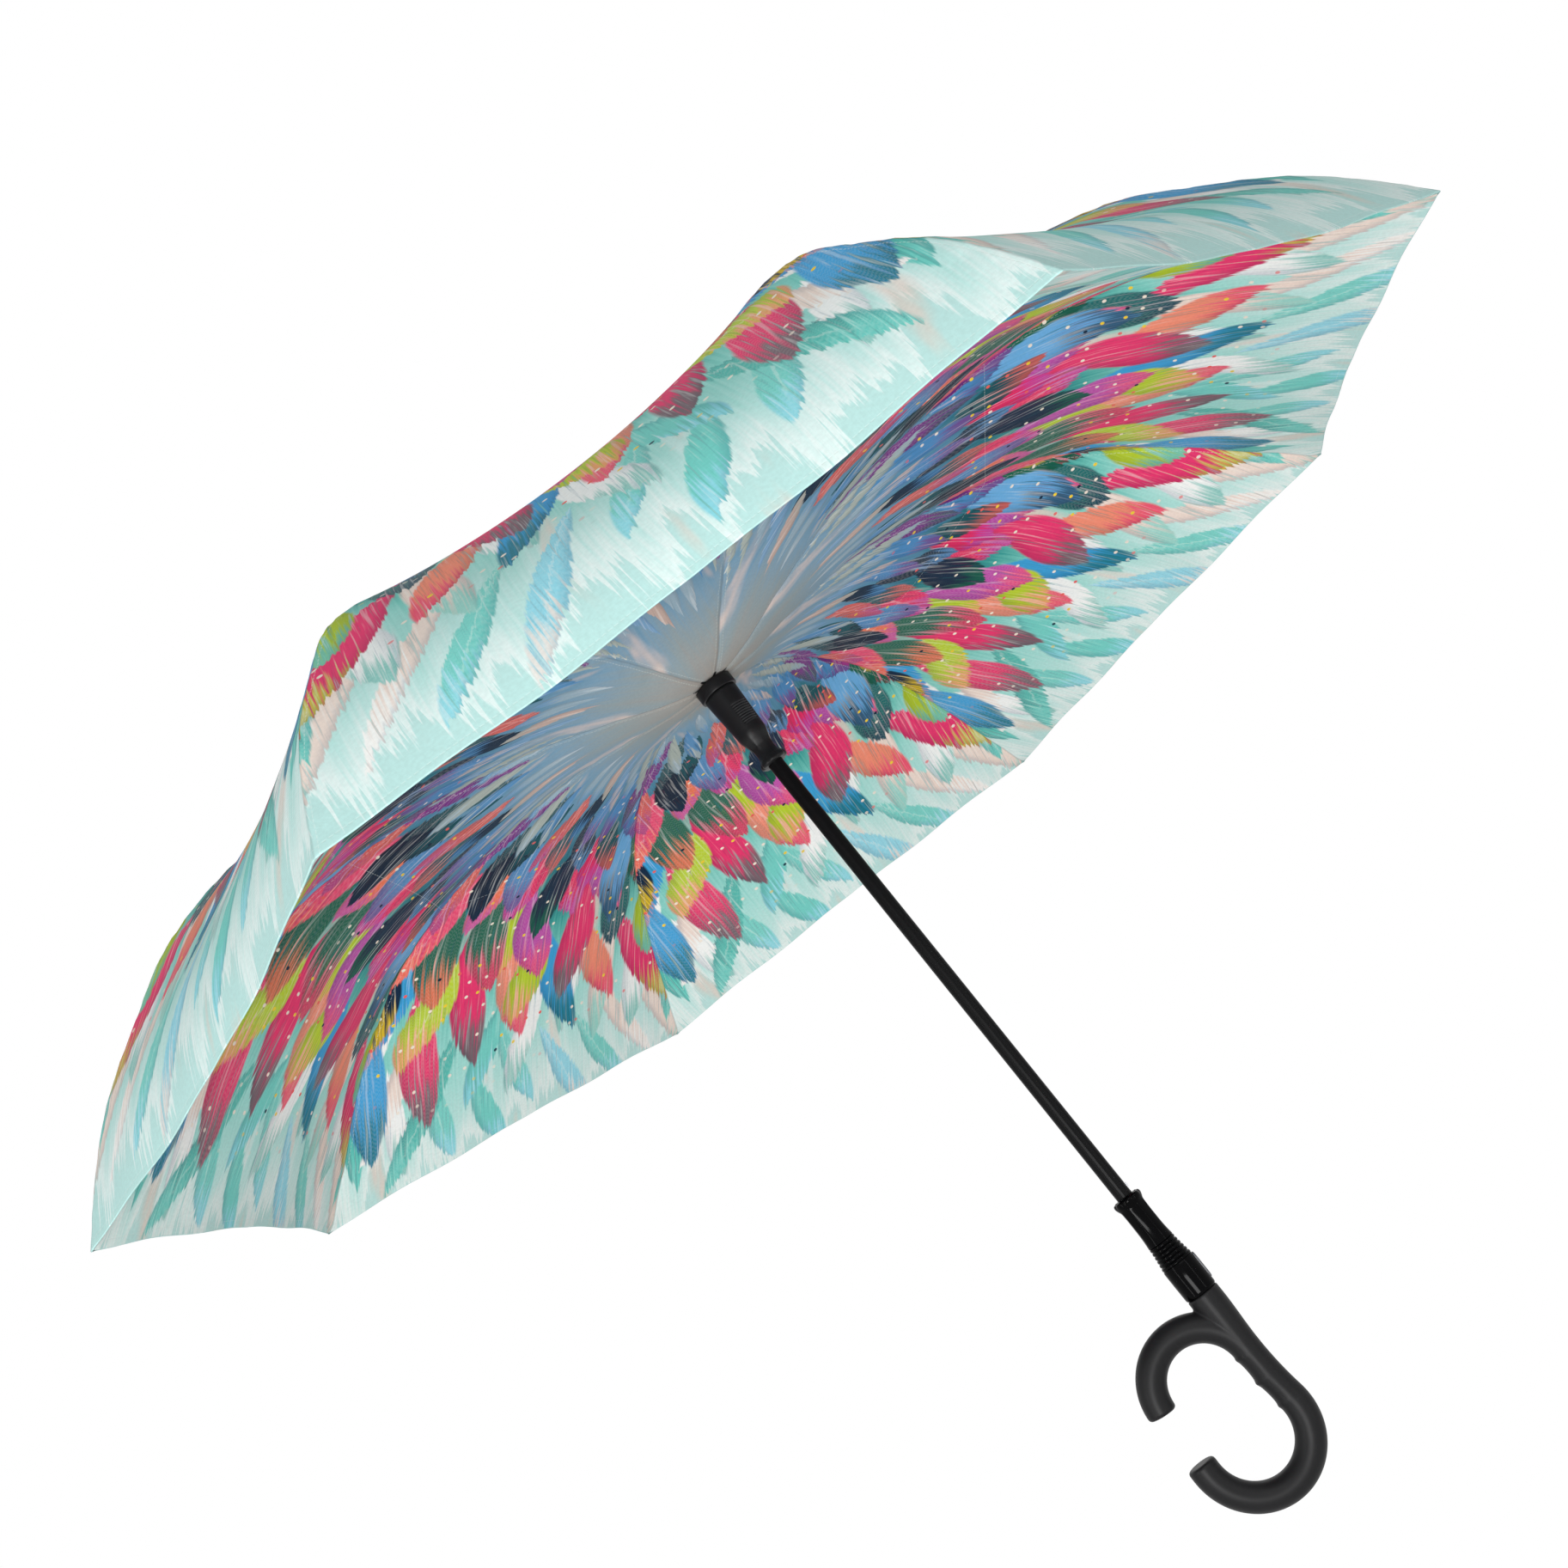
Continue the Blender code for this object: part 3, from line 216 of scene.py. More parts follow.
class UmbrellaMouldingSettings(bpy.types.PropertyGroup):
    """Sizes and colours of the handle, collar, button, runner and cap."""
    tube_radius: a_length("Handle Radius", "Radius of the round handle", 0.0097, 0.006, 0.02)
    hook_radius: a_length(
        "Hook Radius", "Radius of the upper hook's centre line", 0.033, 0.02, 0.06)
    lower_hook_radius: a_length(
        "Lower Hook Radius", "Radius of the lower hook's centre line", 0.0352, 0.02, 0.06)
    stem_flare: a_length(
        "Stem Flare", "How much wider the stem is under the collar", 0.0013, 0.0, 0.003)
    end_rounding: a_length(
        "End Rounding", "Radius of the rounded rim at the handle's ends", 0.0024, 0.0005, 0.008)
    groove_depth: a_length("Finger Groove", "Depth of the finger grooves", 0.0009, 0.0, 0.003)
    crest: a_length(
        "Finger Crest", "Height of the crests between the finger grooves", 0.0006, 0.0, 0.002)
    cell: a_length("Handle Cell", "Cell size of the handle's surface", 0.0007, 0.0003, 0.003)
    ridge_depth: a_length(
        "Ridge Depth", "Depth of the grip ridges on the runner", 0.0010, 0.0, 0.001)
    soft_black: a_colour("Soft Black", "Colour of the soft-touch handle", "19191A")
    gloss_black: a_colour("Gloss Black", "Colour of the polished collar", "040405")
    satin_black: a_colour("Satin Black", "Colour of the runner, cap and notches", "161617")
    silver: a_colour("Button Silver", "Colour of the plated push button", "6A6B6E")


class UmbrellaStageSettings(bpy.types.PropertyGroup):
    """Lamps, floor and camera."""
    lens: FloatProperty(
        name="Lens", description="Focal length of the camera", default=44.282, min=20.0, max=200.0,
        unit="CAMERA")
    key_power: a_power("Key Lamp", "Power of the large lamp beside the camera", 12.0)
    fill_power: a_power("Fill Lamp", "Power of the low lamp that lights the lining", 35.0)
    strip_power: a_power(
        "Strip Lamps", "Power of the two thin lamps that draw highlights", 6.5, 100.0)
    ambient: FloatProperty(
        name="Ambient", description="Strength of the even light from all around", default=0.30,
        min=0.0, max=2.0)
    floor_drop: a_length("Floor Drop", "Distance of the floor below the handle", 0.55, 0.0, 2.0)
    shadow: a_share("Floor Shadow", "Share of the floor's brightness that a shadow can take", 0.12)


# ---------------------------------------------------------------- surfaces

def surface(name, points, wrap=False, flip=False):
    """A mesh from an array of rows by columns of points.

    Each cell between two rows and two columns is a four-sided face. With wrap the last column
    joins the first. Points that fall together, as at a pole, are merged.
    """
    rows, columns = points.shape[:2]
    index = np.arange(rows * columns).reshape(rows, columns)
    if wrap:
        index = np.column_stack([index, index[:, 0]])
    faces = np.stack([index[:-1, :-1], index[:-1, 1:], index[1:, 1:], index[1:, :-1]], axis=-1)
    faces = faces.reshape(-1, 4)
    if flip:
        faces = faces[:, ::-1]
    mesh = bpy.data.meshes.new(name)
    mesh.from_pydata(points.reshape(-1, 3).tolist(), [], faces.tolist())
    mesh.shade_smooth()
    return mesh


def merged(mesh, distance, outwards=False):
    """Merges the points of a mesh that fall together, and may turn its faces outwards."""
    shape = bmesh.new()
    shape.from_mesh(mesh)
    bmesh.ops.remove_doubles(shape, verts=shape.verts, dist=distance)
    if outwards:
        bmesh.ops.recalc_face_normals(shape, faces=shape.faces)
    shape.to_mesh(mesh)
    shape.free()
    return mesh


def closed(mesh, distance=0.0000005, sharp=38.0):
    """Merges the points that fall together, turns the faces outwards and marks sharp edges."""
    merged(mesh, distance, outwards=True)
    mesh.shade_smooth()
    mesh.set_sharp_from_angle(angle=math.radians(sharp))
    return mesh


def circle(count):
    """Angles of evenly spaced points round a full turn."""
    return np.arange(count) * 2 * math.pi / count


def octagon(angle, softness=34.0):
    """Radius of a rounded eight-sided section whose flats lie at radius 1.

    The sum over the flats of the cosine to each flat's direction, raised to a high power, to
    the power of minus one over that power.
    """
    reach = np.clip(np.cos(angle[..., None] - circle(NECK_SIDES)), 0.0, None)
    return np.sum(reach**softness, axis=-1) ** (-1 / softness)


def mark(mesh, name, values):
    """Gives every point of a mesh a number under a name."""
    numbers = mesh.attributes.new(name, "FLOAT", "POINT")
    numbers.data.foreach_set("value", values.astype(np.float32).ravel())


def turned(name, profile, steps=96, facets=0.0, lobes=0.0, relief=0.0, crest=None, sharp=38.0):
    """A profile of radius and height turned about Z, with eight sides or lobes where asked.

    The point at row i and angle a is radius(i) times 1 + facets(i) (octagon(a) - 1)
    - lobes(i) (1 - |cos 4a|), less the relief at i and a. Crest marks the ridge crests
    that take a painted highlight.
    """
    profile = np.array(profile, float)
    angle = circle(steps)
    count = (len(profile), 1)
    share = np.broadcast_to(np.reshape(facets, (-1, 1)), count)
    lobed = np.broadcast_to(np.reshape(lobes, (-1, 1)), count)
    radius = profile[:, :1] * (1 + share * (octagon(angle)[None, :] - 1)
                               - lobed * (1 - np.abs(np.cos(NECK_SIDES / 2 * angle)))[None, :])
    radius = radius - relief
    points = np.stack([radius * np.cos(angle), radius * np.sin(angle),
                       np.broadcast_to(profile[:, 1:], radius.shape)], axis=-1)
    mesh = surface(name, points, wrap=True)
    if crest is not None:
        mark(mesh, "crest", crest)
    return closed(mesh, sharp=sharp)


def curved(points, count):
    """Evenly spaced points on a smooth curve through the given ones.

    The curve is a cubic between two given points. Its slope at each is the weighted mean of the
    slopes of the two straight lines that meet there.
    """
    table = np.array(points, float)
    place = np.concatenate([[0.0], np.cumsum(np.hypot(*np.diff(table, axis=0).T))])
    slopes = np.gradient(table, place, axis=0)
    wanted = np.linspace(0.0, place[-1], count)
    cell = np.clip(np.searchsorted(place, wanted, side="right") - 1, 0, len(place) - 2)
    width = (place[cell + 1] - place[cell])[:, None]
    t = (wanted - place[cell])[:, None] / width
    start, end = table[cell], table[cell + 1]
    return (
        (2 * t**3 - 3 * t**2 + 1) * start + (t**3 - 2 * t**2 + t) * width * slopes[cell]
        + (3 * t**2 - 2 * t**3) * end + (t**3 - t**2) * width * slopes[cell + 1])


def with_settings(target, **settings):
    """The target with some of its attributes set."""
    for name, value in settings.items():
        setattr(target, name, value)
    return target


def add_object(name, data):
    """A new object in the scene, at the origin."""
    made = bpy.data.objects.new(name, data)
    bpy.context.scene.collection.objects.link(made)
    return made


def piece(name, mesh, body, slot, *nodes):
    """An object that rides on a body, has its slot's finish and stands for CAD nodes."""
    made = add_object(name, mesh)
    mesh.materials.clear()
    mesh.materials.append(FINISHES[slot])
    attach(made, body)
    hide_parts(*nodes)
    return made


def baked(base, *helpers):
    """The mesh that an object's modifiers give. The object and its helpers are removed."""
    bpy.context.view_layer.update()
    graph = bpy.context.evaluated_depsgraph_get()
    result = bpy.data.meshes.new_from_object(base.evaluated_get(graph), depsgraph=graph)
    for extra in (base, *helpers):
        bpy.data.objects.remove(extra, do_unlink=True)
    return result


def carve(mesh, cutters):
    """The mesh less some closed meshes."""
    base = add_object(mesh.name, mesh)
    helpers = [add_object(cutter.name, cutter) for cutter in cutters]
    for helper in helpers:
        with_settings(base.modifiers.new("Cut", "BOOLEAN"), operation="DIFFERENCE", object=helper)
    return closed(baked(base, *helpers), distance=0.000002)


# ---------------------------------------------------------------- cloth

def rib_line(shares, first_radius, last_radius, level, span, hole_radius):
    """Arc length, radius, height and panel share of the cloth along a rib, hole to rim.

    The shares scale the way out from clamp to rim and the height's span. The panel share is one
    eleventh at the clamp and grows evenly to one at the rim.
    """
    line = curved(shares, 600)
    radius = first_radius + (last_radius - first_radius) * line[:, 0]
    height = level + span * line[:, 1]
    share = (1 + 10 * np.linspace(0.0, 1.0, len(line))) / 11
    hole = np.linspace(hole_radius, first_radius, 6)[:-1]
    radius = np.concatenate([hole, radius])
    height = np.concatenate([np.full(len(hole), height[0]), height])
    share = np.concatenate([np.zeros(len(hole)), share])
    along = np.concatenate([[0.0], np.cumsum(np.hypot(np.diff(radius), np.diff(height)))])
    return np.column_stack([along + hole_radius, radius, height, share])


def stretch_of(line, start_radius, end_radius, row_length):
    """The rows of a rib line between two radii, evenly spaced along the arc."""
    first, last = np.interp((start_radius, end_radius), line[:, 1], line[:, 0])
    rows = max(4, int(round((last - first) / row_length)))
    wanted = np.linspace(first, last, rows + 1)
    return np.column_stack([np.interp(wanted, line[:, 0], line[:, k]) for k in range(4)])


def sector(name, angle, rows, columns, sag, scallop, pucker, side, flip, pocket=0.0):
    """The cloth round one rib, out to the middle of the panel on each side.

    A row at radius r runs straight from the rib to the next one, so at the share c of the half
    panel it lies r c (1 - cos 45) / 2 in and r c sin 45 / 2 across. The bow 1 - (1 - c)^2 then
    draws it in along the middle of the panel and down by the sag, which fades to nothing at crown
    and rim as a squared sine, and draws the rim in by the scallop. Beside the seam small gathers
    rise and fall with the arc length and fade out across. A pocket bulges down round the rib's tip
    by exp(-(d / width)^2) at the distance d from the seam.
    """
    along, radius, height, share = rows[:, :4].T[..., None]
    way = np.linspace(-1.0, 1.0, 2 * columns + 1)
    way = (np.sign(way) * np.abs(way) ** 1.5)[None, :]
    reach = np.abs(way)
    bow = 1 - (1 - reach) ** 2
    fade = np.sin(math.pi * share) ** 2 * (share > 0)
    pull = BOW_SHARE * (sag * fade + scallop * share**6) * bow
    turn = 2 * HALF_PANEL
    out = radius * (1 - reach * (1 - math.cos(turn)) / 2) - pull * math.cos(HALF_PANEL)
    across = np.sign(way) * (radius * reach * math.sin(turn) / 2 - pull * math.sin(HALF_PANEL))
    half = radius * math.sin(turn) / 2
    from_seam = half * reach
    gathers = np.sin(along * 2 * math.pi / GATHER_PITCH + 1.7 * np.sin(along * 31.0))
    gathers = gathers + 0.6 * np.sin(along * 2 * math.pi / FINE_GATHER_PITCH + 0.9)
    ripple = pucker * gathers * np.exp(-(((from_seam - GATHER_PLACE) / GATHER_WIDTH) ** 2))
    ripple = ripple * np.minimum(1.0, radius / 0.1)
    valley = SEAM_VALLEY * np.exp(-((from_seam / VALLEY_WIDTH) ** 2))
    folds = np.sin(math.pi * reach) * np.sin(3 * math.pi * reach + 5.0 * share)
    pleats = PLEAT_HEIGHT * share**5 * folds
    round_tip = (np.clip((radius - POCKET_START) / 0.010, 0.0, 1.0)
                 * np.clip((POCKET_END - radius) / 0.0057, 0.0, 1.0))
    bulge = pocket * round_tip * np.exp(-((from_seam / POCKET_WIDTH) ** 2))
    up = height - sag * fade * bow + side * (ripple - valley) + pleats - bulge
    x = out * math.cos(angle) - across * math.sin(angle)
    y = out * math.sin(angle) + across * math.cos(angle)
    mesh = surface(name, np.stack([x, y, np.broadcast_to(up, x.shape)], axis=-1), flip=flip)
    corner = np.empty(len(mesh.loops), np.int32)
    mesh.loops.foreach_get("vertex_index", corner)
    row, column = np.divmod(corner, way.shape[1])
    left = np.repeat(column.reshape(-1, 4).min(axis=1) < columns, 4)
    share_at = reach[0][column]
    flat = np.where(left, 1.0, -1.0) * half[row, 0] * (1 - share_at)
    places = np.column_stack([flat, along[row, 0]]).astype(np.float32)
    mesh.uv_layers.new(name="cloth").data.foreach_set("uv", places.ravel())
    mark(mesh, "from_seam", np.broadcast_to(from_seam, x.shape))
    mark(mesh, "from_rim", np.broadcast_to(along[-1] - along, x.shape))
    return mesh


def lay_cloth(layer, strips, shape):
    """Lays strips of cloth round every rib, each riding on its body.

    A strip is its name, its body, its rows and the share of its width that it keeps folded,
    which is not used.
    """
    for number in range(1, RIB_COUNT + 1):
        angle = HALF_PANEL + 2 * HALF_PANEL * (number - 1)
        for strip, body, rows, keep in strips:
            name = f"{strip}_{number}"
            made = piece(name, sector(name, angle, rows, **shape), f"{body}_{number}",
                         f"{layer}_cloth", f"{layer}_{number}")
            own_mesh(made)


# ---------------------------------------------------------------- shader nodes

class Value:
    """An output socket of a shader node. Sums and products of it make Math nodes."""

    def __init__(self, socket):
        self.socket = socket

    def __add__(self, other):
        return maths("ADD", self, other)

    def __sub__(self, other):
        return maths("SUBTRACT", self, other)

    def __rsub__(self, other):
        return maths("SUBTRACT", other, self)

    def __mul__(self, other):
        return maths("MULTIPLY", self, other)

    def __truediv__(self, other):
        return maths("DIVIDE", self, other)

    def __abs__(self):
        return maths("ABSOLUTE", self)

    def step(self, low, high, start=0.0, end=1.0):
        """A smooth step from start to end as the value goes from low to high."""
        return node("MapRange", {"Value": self, "From Min": low, "From Max": high,
                                 "To Min": start, "To Max": end},
                    interpolation_type="SMOOTHSTEP")[0]


class Outputs:
    """The outputs of a shader node, by number or name."""

    def __init__(self, made):
        self.node = made

    def __getitem__(self, key):
        return Value(self.node.outputs[key])


def feed(made, inputs):
    """Puts links, numbers and colours on a node's inputs."""
    for key, value in inputs.items():
        socket = made.inputs[key]
        if isinstance(value, Value):
            made.id_data.links.new(value.socket, socket)
        elif socket.type == "RGBA":
            socket.default_value = (*value[:3], 1.0)
        else:
            socket.default_value = value


def node(kind, inputs=(), tree=None, **settings):
    """A shader node in the tree of its inputs, or in the one named, with settings and inputs."""
    inputs = dict(inputs)
    tree = tree or next(value.socket.id_data for value in inputs.values()
                        if isinstance(value, Value))
    made = with_settings(tree.nodes.new("ShaderNode" + kind), **settings)
    feed(made, inputs)
    return Outputs(made)


def maths(operation, *values):
    """The output of a Math node."""
    return node("Math", enumerate(values), operation=operation)[0]


def vector(operation, *values):
    """The output of a Vector Math node."""
    return node("VectorMath", enumerate(values), operation=operation)[0]


def parts_of(place):
    """The three parts of a vector."""
    return node("SeparateXYZ", {0: place})


def noise(place, scale, detail, output=0, **inputs):
    """A noise texture."""
    return node("TexNoise", {"Vector": place, "Scale": scale, "Detail": detail, **inputs})[output]


def scaled(place, *scale):
    """A place with each axis scaled."""
    return node("Mapping", {"Vector": place, "Scale": scale})[0]


def attribute(tree, name):
    """A number that the points of a mesh carry, or nothing where they don't."""
    return node("Attribute", tree=tree, attribute_name=name)["Fac"]


def mixed(factor, first, second, mode="MIX"):
    """Two colours mixed by a factor."""
    return node("Mix", {0: factor, 6: first, 7: second}, data_type="RGBA", blend_type=mode)[2]


def ramp(factor, stops, interpolation="LINEAR"):
    """A colour ramp with stops of place and hexadecimal colour."""
    made = node("ValToRGB", {0: factor})
    made.node.color_ramp.interpolation = interpolation
    elements = made.node.color_ramp.elements
    while len(elements) < len(stops):
        elements.new(1.0)
    for element, (place, colour) in zip(elements, stops):
        element.position = place
        element.color = (*tint(colour), 1.0)
    return made[0]


def group(name, outputs, **inputs):
    """An empty node group. An input without a default is a vector, the others are numbers."""
    tree = bpy.data.node_groups.new(name, "ShaderNodeTree")
    for title, value in inputs.items():
        kind = "NodeSocketVector" if value is None else "NodeSocketFloat"
        socket = tree.interface.new_socket(title.replace("_", " "), in_out="INPUT",
                                           socket_type=kind)
        if value is not None:
            socket.default_value = value
    for title in outputs:
        kind = "NodeSocketColor" if title == "Color" else "NodeSocketFloat"
        tree.interface.new_socket(title, in_out="OUTPUT", socket_type=kind)
    return Outputs(tree.nodes.new("NodeGroupInput")), tree.nodes.new("NodeGroupOutput")


def finished(end, *results):
    """Links the results to a group's output and gives the group."""
    feed(end, dict(enumerate(results)))
    return end.id_data


def use(shared, tree=None, **inputs):
    """A node group placed in a tree, with values or links on its inputs."""
    inputs = {title.replace("_", " "): value for title, value in inputs.items()}
    return node("Group", inputs, tree, node_tree=shared)


# ---------------------------------------------------------------- node groups

def make_leaf_ring():
    """One ring of pointed leaves that fan out from the panel's inner end.

    The place across over the place along is the fan's angle. It is cut into cells, and a leaf
    fills each cell where the distance from its midrib is less than a share of 1 - y squared.
    """
    given, end = group("leaf ring", ("Mask", "Pick", "Tip", "Side", "Barbs", "Vein"), Place=None,
                       Count=9.0, Centre=0.3, Half_Length=0.06, Width=0.42, Tilt=0.0, Seed=1.0)
    across, along, _ = parts_of(given["Place"])
    half = given["Half Length"]
    far = along - given["Centre"]
    fan = across / maths("MAXIMUM", along, LEAST_WIDTH)
    cells = fan * given["Count"] + given["Seed"] + far * given["Tilt"]
    cell = maths("FLOOR", cells)
    offset = cells - cell - 0.5
    pair = node("CombineXYZ", {0: cell, 1: given["Seed"]})[0]
    chance = node("TexWhiteNoise", {"Vector": pair}, noise_dimensions="2D")
    longer, moved, plainer = parts_of(chance["Color"])
    y = (far - (moved - 0.5) * half) / (half * (longer * 0.5 + 0.72))
    swell = maths("MAXIMUM", 1.0 - y * y, 0.0)
    wide = swell * (y * 0.22 + 1.0) * given["Width"]
    aside = abs(offset)
    barbs = maths("SINE", far * BARBS_ALONG - aside * BARB_LEAN) * 0.5 + 0.5
    vein = aside.step(0.010, 0.028, 1.0, 0.0) * y.step(0.75, 0.2)
    veined = maths("GREATER_THAN", plainer, 0.45)
    return finished(end, (wide - aside).step(0.0, 0.05), chance["Value"], y.step(-0.7, 0.9),
                    offset / maths("MAXIMUM", wide, LEAST_WIDTH), barbs * veined,
                    vein * veined)


def make_weave():
    """Plain weave: two sets of crossing threads, each a rounded ridge, and loose fibres."""
    given, end = group("plain weave", ("Height", "Fibres"), Place=None, Threads=THREADS_PER_METRE)
    place = node("VectorMath", {0: given["Place"], "Scale": given["Threads"]},
                 operation="SCALE")[0]
    across, along, _ = parts_of(place)
    height = maths("SINE", across * math.pi) * maths("SINE", along * math.pi)
    return finished(end, height, noise(given["Place"], 420.0, 3.0))


def make_stitches():
    """Two rows of stitches beside a seam: short dashes along, each with a round back."""
    given, end = group("seam stitches", ("Mask",), From_Edge=0.0, Along=0.0, Row=0.0030,
                       Pitch=0.0032)
    near = abs(given["From Edge"] - given["Row"]).step(0.00022, 0.00045, 1.0, 0.0)
    place = maths("FRACT", given["Along"] / given["Pitch"])
    return finished(end, near * abs(place - 0.5).step(0.30, 0.40, 1.0, 0.0))


def make_grain():
    """Moulded grain: fine pits, a broad unevenness and a few scuffs, from Object coordinates."""
    given, end = group("moulded grain", ("Height", "Roughness", "Scuff"), Grain_Scale=2500.0,
                       Base_Roughness=0.5, Spread=0.1)
    place = node("TexCoord", tree=end.id_data)["Object"]
    broad = noise(place, 60.0, 4.0)
    scratches = noise(scaled(place, 1.0, 1.0, 0.18), 620.0, 5.0, Roughness=0.7)
    return finished(end, noise(place, given["Grain Scale"], 2.0),
                    (broad - 0.5) * given["Spread"] + given["Base Roughness"],
                    scratches.step(0.62, 0.74) * broad.step(0.50, 0.62))


# ---------------------------------------------------------------- finishes

def new_finish(name):
    """A new material and its Principled shader."""
    made = bpy.data.materials.new(name)
    made.use_nodes = True
    return made, made.node_tree.nodes["Principled BSDF"]


def moulded(grain, name, colour, roughness, spread, depth, scale, metallic, specular, scuffed):
    """Plastic, coated or plated: bump grain, roughness, scuffed colour, painted crest highlight."""
    made, shader = new_finish(name)
    tree = shader.id_data
    fine = use(grain, tree, Grain_Scale=scale, Base_Roughness=roughness, Spread=spread)
    worn = tuple(min(1.0, level * 1.5 + 0.02) for level in colour)
    plain = mixed(fine["Scuff"] * scuffed, tuple(colour), worn)
    bump = node("Bump", {"Height": fine["Height"], "Strength": 0.6, "Distance": depth})[0]
    # Marked crests take the lighter black: a painted highlight on the runner's ridges
    feed(shader, {"Base Color": mixed(attribute(tree, "crest"), plain, tint(CREST_HIGHLIGHT_BLACK)),
                  "Roughness": fine["Roughness"], "Normal": bump, "Metallic": metallic,
                  "Specular IOR Level": specular})
    return made


# Slot: name, colour or the setting that holds it, roughness and its spread, depth and scale of
# the grain, metallic, specular level, scuffs
MOULDED = {
    "soft_touch_grip": (
        "soft touch black", "soft_black", 0.43, 0.10, 1e-5, 3200.0, 0.0, 0.15, 0.08),
    "gloss_collar": ("polished black", "gloss_black", 0.12, 0.04, 1e-6, 900.0, 0.0, 0.05, 0.03),
    "black_plastic": (
        "satin black moulding", "satin_black", 0.38, 0.12, 1e-5, 2600.0, 0.0, 0.18, 0.1),
    "silver_button": ("satin silver plating", "silver", 0.48, 0.12, 1e-5, 2600.0, 0.6, 0.3, 0.25),
    "spring_steel": ("spring steel", "9C9DA0", 0.34, 0.20, 3e-5, 1800.0, 1.0, 0.5, 0.25),
    "shaft_coating": ("coated steel tube", "0C0C0D", 0.34, 0.10, 6e-6, 1600.0, 0.0, 0.08, 0.05),
    "rib_steel": ("black coated steel", "1C1C1E", 0.42, 0.2, 3e-5, 2200.0, 0.0, 0.5, 0.6),
    "fibreglass": ("black fibreglass", "141415", 0.30, 0.12, 2e-5, 1500.0, 0.0, 0.5, 0.4)}

# The last stop darkens the hem: painted shade over the light that the hem's fold catches
GROUND = ((0.0, "A8A29B"), (0.12, "98A6AA"), (0.25, "82A6BE"), (0.38, "5C93B2"), (0.50, "23707F"),
          (0.61, "3FA39C"), (0.70, "7CCFC3"), (0.80, "A9E3DA"), (0.90, "C8ECE6"), (0.985, "EAF6F2"),
          (1.0, "C0E5E0"))
PALE_LEAVES = ((0.0, "9DB6C4"), (0.2, "CDB2A6"), (0.4, "5E97C6"), (0.6, "B1BBB3"), (0.8, "7FA9CC"))
DEEP_LEAVES = ((0.0, "0B2A42"), (0.17, "B63C8E"), (0.30, "12535C"), (0.46, "4F90C6"),
               (0.60, "0A1F35"), (0.74, "E0625A"), (0.86, "7A2F86"))
BRIGHT_LEAVES = ((0.0, "F02C68"), (0.14, "FA7A52"), (0.26, "0B2842"), (0.42, "C64CAE"),
                 (0.54, "F6CF2B"), (0.64, "12664F"), (0.80, "F44D78"), (0.90, "6FB4E6"))
FRESH_LEAVES = ((0.0, "C2D834"), (0.16, "0F6B6A"), (0.32, "FA9478"), (0.46, "5CC4BF"),
                (0.62, "0A3450"), (0.76, "EF3A72"), (0.90, "3FA5DC"))
RIM_LEAVES = ((0.0, "7AD6CB"), (0.22, "FBFDFA"), (0.42, "97DCEA"), (0.62, "58BFB3"),
              (0.80, "F5E2D6"))
BERRIES = ((0.0, "F7EBDA"), (0.45, "F5D33A"), (0.65, "F2665F"), (0.85, "0B2840"))
# Count, middle, half length, width, tilt, seed and colours of each ring, outermost first
RINGS = (
    (13.0, 0.500, 0.070, 0.30, 9.0, 3.3, RIM_LEAVES),
    (11.0, 0.462, 0.070, 0.34, -8.0, 17.6, RIM_LEAVES),
    (9.6, 0.420, 0.066, 0.40, 6.0, 29.2, FRESH_LEAVES),
    (8.4, 0.378, 0.064, 0.44, -6.0, 41.7, FRESH_LEAVES),
    (8.0, 0.338, 0.062, 0.46, 5.0, 53.4, BRIGHT_LEAVES),
    (8.2, 0.298, 0.060, 0.46, -5.0, 67.9, BRIGHT_LEAVES),
    (9.0, 0.258, 0.056, 0.46, 6.0, 71.3, DEEP_LEAVES),
    (10.5, 0.216, 0.054, 0.44, -8.0, 89.8, DEEP_LEAVES),
    (13.0, 0.168, 0.052, 0.40, 9.0, 97.1, PALE_LEAVES))


def painted_leaf(ring, palette, brush):
    """A leaf's paint: one colour turning into the next towards the tip, with streaks and veins."""
    base = ramp(ring["Pick"], palette, "CONSTANT")
    other = ramp(maths("FRACT", ring["Pick"] + 0.37), palette, "CONSTANT")
    reach = (brush - 0.5) * 1.6 + ring["Tip"]
    paint = mixed(reach.step(0.62, 0.98, 0.0, 0.8), base, other)
    light = mixed(0.45, paint, (1.0, 0.98, 0.94))
    paint = mixed(brush.step(0.54, 0.68, 0.0, 0.7), paint, light)
    dark = mixed(1.0, paint, (0.45, 0.50, 0.58), "MULTIPLY")
    paint = mixed(brush.step(0.45, 0.33, 0.0, 0.6), paint, dark)
    paint = mixed(ring["Side"].step(0.2, 1.0, 0.0, 0.55), paint, dark)
    paint = mixed(ring["Barbs"] * 0.16, paint, light)
    return mixed(ring["Vein"] * 0.55, paint, light)


